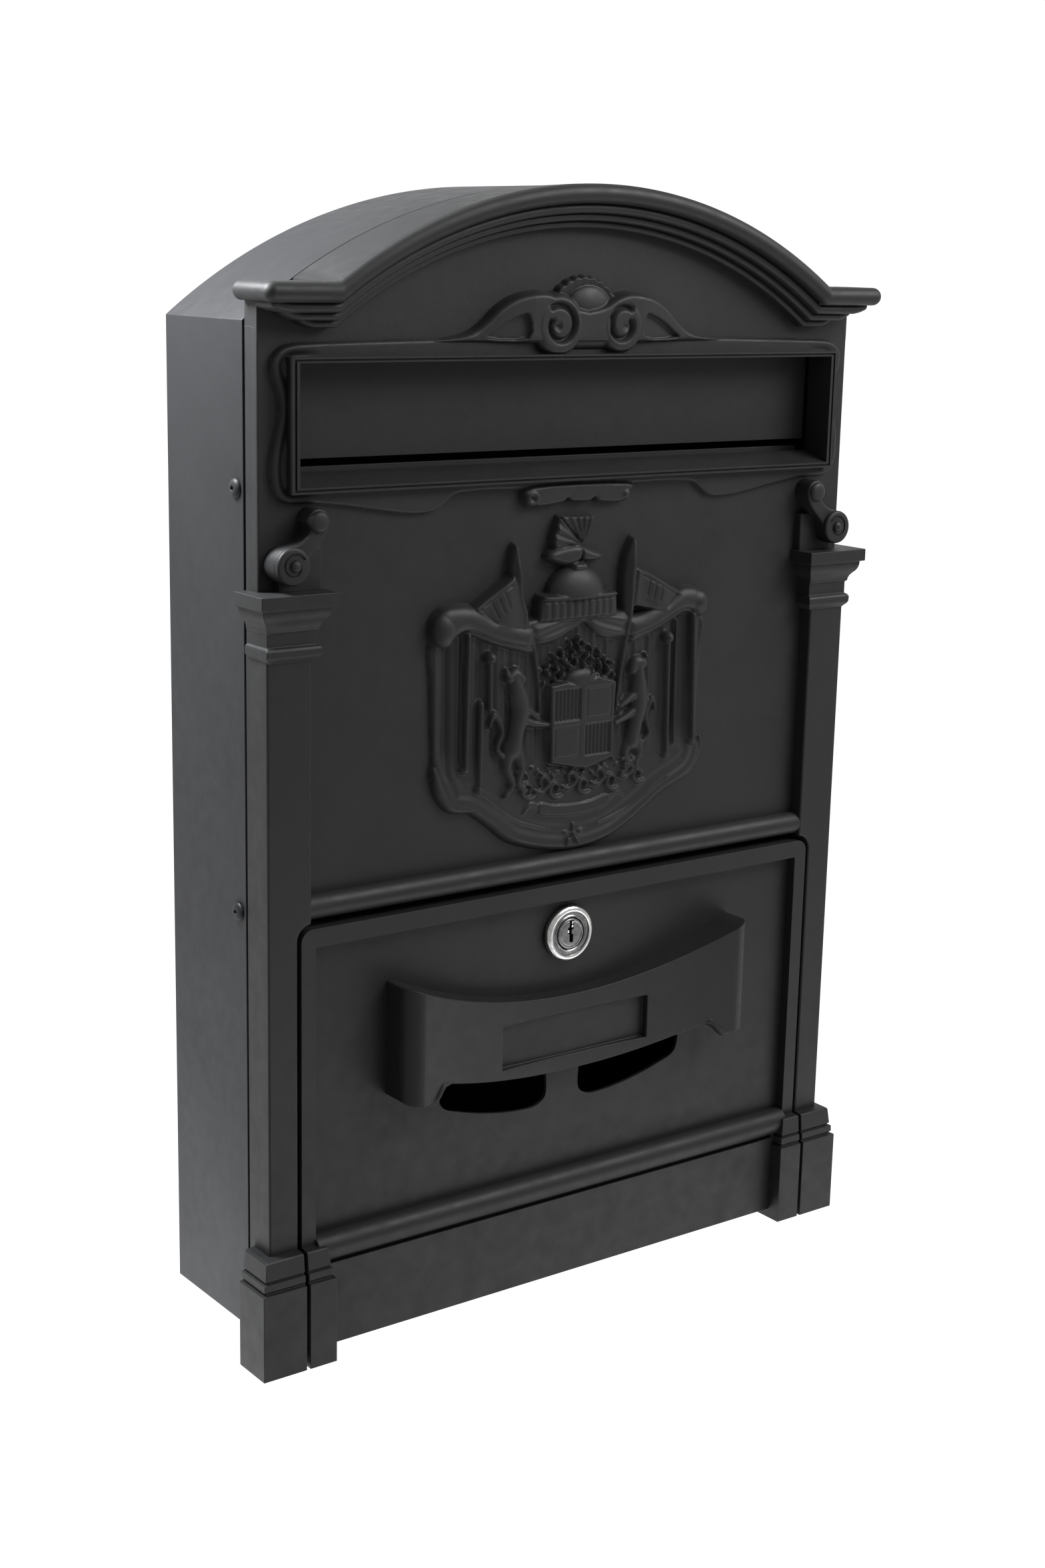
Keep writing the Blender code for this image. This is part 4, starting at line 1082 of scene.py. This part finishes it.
DOOR = ("door", "cast_front", ("collection_door",))
RIBBON_HALF = 80.0
ROLL = 7.0  # radius of the ribbon's rolled ends
ROLL_START = RIBBON_HALF - ROLL
LOBE_START = 62.0  # where the foot of each end hangs down again
VIEW_LOW = ((10, 74.4), (15, 72.9), (26, 73.6), (38, 75.8), (48, 78.6), (53.6, 80.6), (56.2, 83.6))
VIEW_HIGH = (
    (56.8, 88.4), (55.6, 92.0), (50, 93.2), (30, 93.2), (12, 91.4), (8.2, 88.4), (7.7, 84), (7.7, 77.4),
)


def door_panel():
    """The panel with its sunk front and back, the groove over the foot's roll, and the two view slots."""
    outline = rounded_top(DOOR_HALF, DOOR_FOOT, DOOR_TOP, DOOR_CORNER)
    panel = prism("door_panel", outline, RELIEF_FRONT, -55.2)
    cutters = [
        block("front_recess", (-111.5, 111.5), (-90, -62.4), (45, 153.5)),
        block("back_recess", (-112.4, 112.4), (-60.9, -40), (13, 155)),
        block("roll_groove", (-106, 106), (-90, -64.8), (35.1, 38)),
        rod("lock_hole", "Y", (0, LOCK_HEIGHT), 9.5, -80, -50, 64),
    ]
    view = smooth([*VIEW_LOW, *VIEW_HIGH], 5)
    for side in SIDES.values():
        cutters.append(prism("view_slot", flipped(view, side), -90, -50))
    cut(panel, *cutters)
    return finished(panel, *DOOR, bevel=0.6, limit=40, segments=3)


def drape(x):
    """The ribbon's front and foot at a distance from its middle, before its end rolls back."""
    lobe = unit((x - LOBE_START) / 7)
    foot = 88.0 + 8.4 * min(x / LOBE_START, 1) ** 2.2
    return -69.2 - 8.6 * (min(x, ROLL_START) / ROLL_START) ** 2.4, foot, 5.6 * (3 * lobe**2 - 2 * lobe**3)


def ribbon():
    """A draped ribbon: its ends stand proud and roll back, and its top edge sags to the middle."""
    inner = np.linspace(-ROLL_START, ROLL_START, 75)
    outer = ROLL_START + ROLL * np.sin(np.radians(np.linspace(7, 90, 10)))
    rings = []
    for x in [*(-outer[::-1]), *inner, *outer]:
        past = max(abs(x) - ROLL_START, 0) / ROLL
        turned_away = 1 - math.sqrt(max(1 - past * past, 0))
        front, foot, lobe = drape(abs(x))
        front += ROLL * turned_away
        top = 117.6 + 18.6 * min(abs(x) / RIBBON_HALF, 1) ** 2.1 - 1.8 * turned_away
        foot += 2.2 * turned_away - lobe
        rings.append([(x, front, foot), (x, -61.2, foot), (x, -61.2, top), (x, front, top)])
    band = loft("ribbon", rings)
    cut(band, block("name_recess", (-34, 34), (-90, -67.6), (94, 111)))
    return finished(band, *DOOR, bevel=0.7, limit=42, segments=3)


def ribbon_curl(name, side):
    """The rolled edge where each end of the ribbon's foot hangs down."""
    rings = []
    turn = np.linspace(0, 2 * math.pi, 12, endpoint=False)
    for x in np.linspace(LOBE_START - 3, ROLL_START - 1, 22):
        front, foot, lobe = drape(x)
        radius = 0.3 + 1.6 * math.sin(math.pi * (x - LOBE_START + 3) / (ROLL_START - LOBE_START + 2))
        section = [(front + 0.9 - radius * math.cos(a), foot - lobe + radius * math.sin(a)) for a in turn]
        rings.append([(side * x, max(y, -77.6), z) for y, z in section])
    finished(loft(f"ribbon_curl_{name}", rings), *DOOR, bevel=0.0)


def door_pieces():
    door_panel()
    ribbon()
    finished(rod("door_roll", "X", (-64.4, 41.4), 5.2, -111.7, 111.7), *DOOR, bevel=0.4, limit=60)
    for name, side in SIDES.items():
        ribbon_curl(name, side)
        reach = sorted((side * 112.9, side * DOOR_HALF))
        inwards = (0, 1) if side < 0 else (1, 0)
        half = stepped(f"door_plinth_{name}", PLINTH_LEVELS, reach, inwards, -58.2)
        finished(half, *DOOR, bevel=0.45, limit=20)
        lug = rod(f"door_lug_{name}", "X", HINGE, 4.6, side * 109.2, side * 117.28)
        finished(lug, *DOOR, bevel=0.5, limit=50)


# ---------- lock ----------


KEYWAY = (
    (-0.7, -3.3), (0.9, -3.3), (0.9, -0.3), (0.2, 0.2), (0.2, 1.5), (1.2, 2.0), (1.2, 5.2), (-0.8, 5.2),
    (-0.8, 2.8), (-1.6, 2.3), (-1.6, 0.4), (-0.8, -0.1),
)
WAFERS = ((0.9, 4.2), (0.8, 2.8), (-1.2, 0.9))


def lock_turned(name, profile, segments):
    return turned(name, "Y", (0, LOCK_HEIGHT), profile, segments)


def lock_barrel():
    """A bright ring round a duller sunk face."""
    front, bore = LOCK_FRONT, 6.3
    profile = [
        (9.9, front), (10.45, front - 0.1), (10.75, front - 0.5), (10.75, front - 1.5), (10.55, front - 2.1),
        (10.1, front - 2.6), (9.5, front - 2.9), (9.0, front - 2.95), (8.6, front - 2.8), (8.4, front - 2.2),
        (8.4, -53.0), (9.2, -53.0), (9.2, front),
    ]
    ring = lock_turned("lock_barrel_ring", profile, 96)
    finished(ring, "door", "bright_steel", ("lock_barrel",), bevel=0.0)
    front -= 2.2
    profile = [
        (8.37, front), (7.3, front), (7.0, front - 0.35), (6.6, front - 0.5), (bore, front - 0.3),
        (bore, -53.2), (8.37, -53.2),
    ]
    face = lock_turned("lock_barrel_face", profile, 96)
    finished(face, "door", "bright_steel", ("lock_barrel",), bevel=0.0).data.materials[0] = LOCK_FACE


def lock_plug():
    """The plug with its keyway, and the ends of the wafers that show inside it."""
    front = LOCK_FRONT - 2.9
    profile = [
        (0, front), (4.4, front), (4.7, front + 0.25), (5.0, front + 0.05), (5.6, front + 0.1),
        (5.9, front + 0.4), (6.0, front + 0.8), (6.0, -53), (3.0, -53), (3.0, -50.5), (0, -50.5),
    ]
    plug = lock_turned("lock_plug_face", profile, 72)
    keyway = prism("keyway", [(x, LOCK_HEIGHT + z) for x, z in KEYWAY], front - 2, front + 7)
    bore = rod("bore", "Y", (0, LOCK_HEIGHT), 1.6, -56, -49, 24)
    cut(plug, keyway, bore)
    plug_slot = ("lock_core", "bright_steel", ("lock_plug",))
    finished(plug, *plug_slot, bevel=0.12, limit=50).data.materials[0] = LOCK_FACE
    for k, (x, z) in enumerate(WAFERS):
        height = (LOCK_HEIGHT + z - 0.45, LOCK_HEIGHT + z + 0.45)
        wafer = block(f"lock_wafer_{k}", (x - 0.5, x + 0.5), (front + 0.2, front + 3), height)
        finished(wafer, *plug_slot, bevel=0.15)


# ---------- sheet body and small parts ----------

SHEET_SLOT = ("housing", "body_sheet")


def body():
    shell = prism("body_shell_sheet", arch_band(0, SHEET, SHELL_FOOT), SHELL_FRONT, 0)
    finished(shell, *SHEET_SLOT, ("body_shell",), bevel=0.3)
    foot = SHELL_FOOT + SHEET + GAP
    inset = SHEET + GAP
    plate = prism("back_panel_plate", arch_outline(inset, foot), -SHEET, 0)
    holes = [rod("hole", "Y", (x, z), 3.25, -5, 5, 32) for x in (-90, 90) for z in (80, 335)]
    cut(plate, *holes)
    finished(plate, *SHEET_SLOT, ("back_panel",), bevel=0.25)
    outer, inner = arch_outline(inset, foot), arch_outline(inset + SHEET, foot + SHEET)
    edges = ([*outer, *reversed(inner)], [outer[0], inner[0], inner[-1], outer[-1]])
    for k, outline in enumerate(edges):
        edge = prism(f"back_panel_edge_{k}", outline, -10, -0.9)
        finished(edge, *SHEET_SLOT, ("back_panel",), bevel=0.25)


def rivets():
    outside, inside = SHELL_HALF + GAP, SHELL_HALF - 4.0
    profile = [
        (0, outside + 0.35), (0.8, outside + 0.35), (0.88, outside + 1.2), (1.05, outside + 1.36),
        (1.5, outside + 1.34), (2.2, outside + 1.12), (2.8, outside + 0.78), (3.2, outside + 0.4),
        (3.3, outside), (1.7, outside), (1.7, inside), (2.5, inside), (2.3, inside - 2.2), (0, inside - 2.6),
    ]
    for name, side in SIDES.items():
        half = [(radius, side * along) for radius, along in profile]
        for level, height in (("upper", 309.3), ("lower", 164.7)):
            rivet = turned(f"rivet_{level}_{name}", "X", (-47.5, height), half, 32)
            finished(rivet, *SHEET_SLOT, (f"side_rivet_{level}_{name}",), bevel=0.0)


REFINED = {
    "bottom_panel": ("housing", "body_sheet", 0.25),
    "slot_flap": ("flap", "flap_sheet", 0.25),
    "flap_hinge_pin": ("housing", "zinc_steel", 0.25),
    "lock_washer": ("door", "zinc_steel", 0.2),
    "lock_nut": ("door", "zinc_steel", 0.4),
    "lock_cam": ("lock_core", "zinc_steel", 0.3),
    "cam_screw": ("lock_core", "zinc_steel", 0.15),
}


def refined_parts():
    """The small parts keep their shape, with their sharp edges taken off."""
    parts = dict(REFINED)
    for name in SIDES:
        parts[f"flap_bracket_{name}"] = ("housing", "zinc_steel", 0.2)
        parts[f"flap_pin_clip_{name}"] = ("housing", "zinc_steel", 0.1)
        parts[f"door_hinge_pin_{name}"] = ("housing", "zinc_steel", 0.25)
        for place in ("inner", "outer"):
            parts[f"bracket_screw_{place}_{name}"] = ("housing", "zinc_steel", 0.08)
    for node, (owner, slot, bevel) in parts.items():
        copy = linked(f"{node}_fine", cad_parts[node].data.copy())
        finished(copy, owner, slot, (node,), bevel=bevel, limit=35)


# ---------- stage, light and camera ----------


def light(name, place, target, size, power, mirrored=True, colour=(1, 1, 1)):
    """A soft rectangle that shines from its place at its target. Unmirrored, it leaves no reflection."""
    data = bpy.data.lights.new(name, "AREA")
    data.shape = "RECTANGLE"
    data.size, data.size_y = size
    data.energy = power
    data.color = colour
    obj = linked(name, data)
    obj.location = place
    obj.rotation_mode = "QUATERNION"
    obj.rotation_quaternion = (Vector(target) - Vector(place)).to_track_quat("-Z", "Y")
    obj.visible_camera = False
    obj.visible_glossy = mirrored


def stage():
    """A white floor well below the object, which hangs, that curves up all round into a wall."""
    floor, radius, wall, bend = -0.75, 5.0, 6.0, 1.6
    profile = [(0.0, floor), (radius - bend, floor)]
    for angle in np.radians(np.linspace(8, 90, 10)):
        profile.append((radius - bend + bend * math.sin(angle), floor + bend * (1 - math.cos(angle))))
    profile.append((radius, wall))
    bm = spun(profile, False, 96, 1e-5)
    mesh = bpy.data.meshes.new("studio_floor")
    bm.to_mesh(mesh)
    bm.free()
    mesh.materials.append(studio_white("studio_white"))
    mesh.shade_smooth()
    linked("studio_floor", mesh)


LIGHTS = (  # place, target, size in metres, and watts
    ("side_high", (-0.26, 0.05, 0.31), (-0.13, -0.02, 0.16), (0.10, 0.10), 5.3, True, (0.95, 0.97, 1.0)),
    ("side_low", (-0.26, 0.05, -0.33), (-0.13, -0.02, -0.18), (0.10, 0.10), 4.8, False),
    ("front_high", (0.5, -1.0, 1.1), (0.0, -0.05, 0.0), (0.9, 0.7), 12.0),
    ("front_right", (0.42, -0.42, 0.45), (0.08, -0.06, 0.12), (0.3, 0.3), 3.6),
    ("front_low", (0.30, -0.45, -0.45), (0.03, -0.06, -0.14), (0.6, 0.3), 1.1),
    ("overhead", (-0.2, 0.35, 1.2), (0.0, -0.03, 0.2), (0.9, 0.6), 5.6),
)


def lights():
    for values in LIGHTS:
        light(*values)
    world = bpy.data.worlds.new("studio")
    world.use_nodes = True
    background = world.node_tree.nodes["Background"]
    background.inputs["Color"].default_value = (1, 1, 1, 1)
    background.inputs["Strength"].default_value = 0.6
    bpy.context.scene.world = world
    bpy.context.scene.view_settings.view_transform = "Standard"


def camera():
    azimuth, elevation, roll = (math.radians(a) for a in (-36.697, 13.305, 1.259))
    level = math.cos(elevation)
    back = Vector((math.sin(azimuth) * level, -math.cos(azimuth) * level, math.sin(elevation)))
    right = Vector((0, 0, 1)).cross(back).normalized()
    up = back.cross(right)
    across = right * math.cos(roll) + up * math.sin(roll)
    upright = up * math.cos(roll) - right * math.sin(roll)
    data = bpy.data.cameras.new("camera")
    data.sensor_fit = "VERTICAL"
    data.sensor_height = 36.0
    data.lens = 51.712
    data.clip_start, data.clip_end = 0.01, 50
    obj = linked("camera", data)
    turn = Matrix((across, upright, back)).transposed()
    obj.matrix_world = Matrix.Translation((-0.49601, -0.69866, 0.18188)) @ turn.to_4x4()
    bpy.context.scene.camera = obj


front_plate()
front_rim()
slot_frame()
cornice()
cartouche_border()
cartouche_crown()
crest()
cast(rod("lintel_bead", "X", (-62.2, 167), 4.4, -114, 114))
for side_name, side_sign in SIDES.items():
    pilaster(side_name, side_sign)
    scroll(side_name, side_sign)
door_pieces()
lock_barrel()
lock_plug()
body()
rivets()
refined_parts()
stage()
lights()
camera()
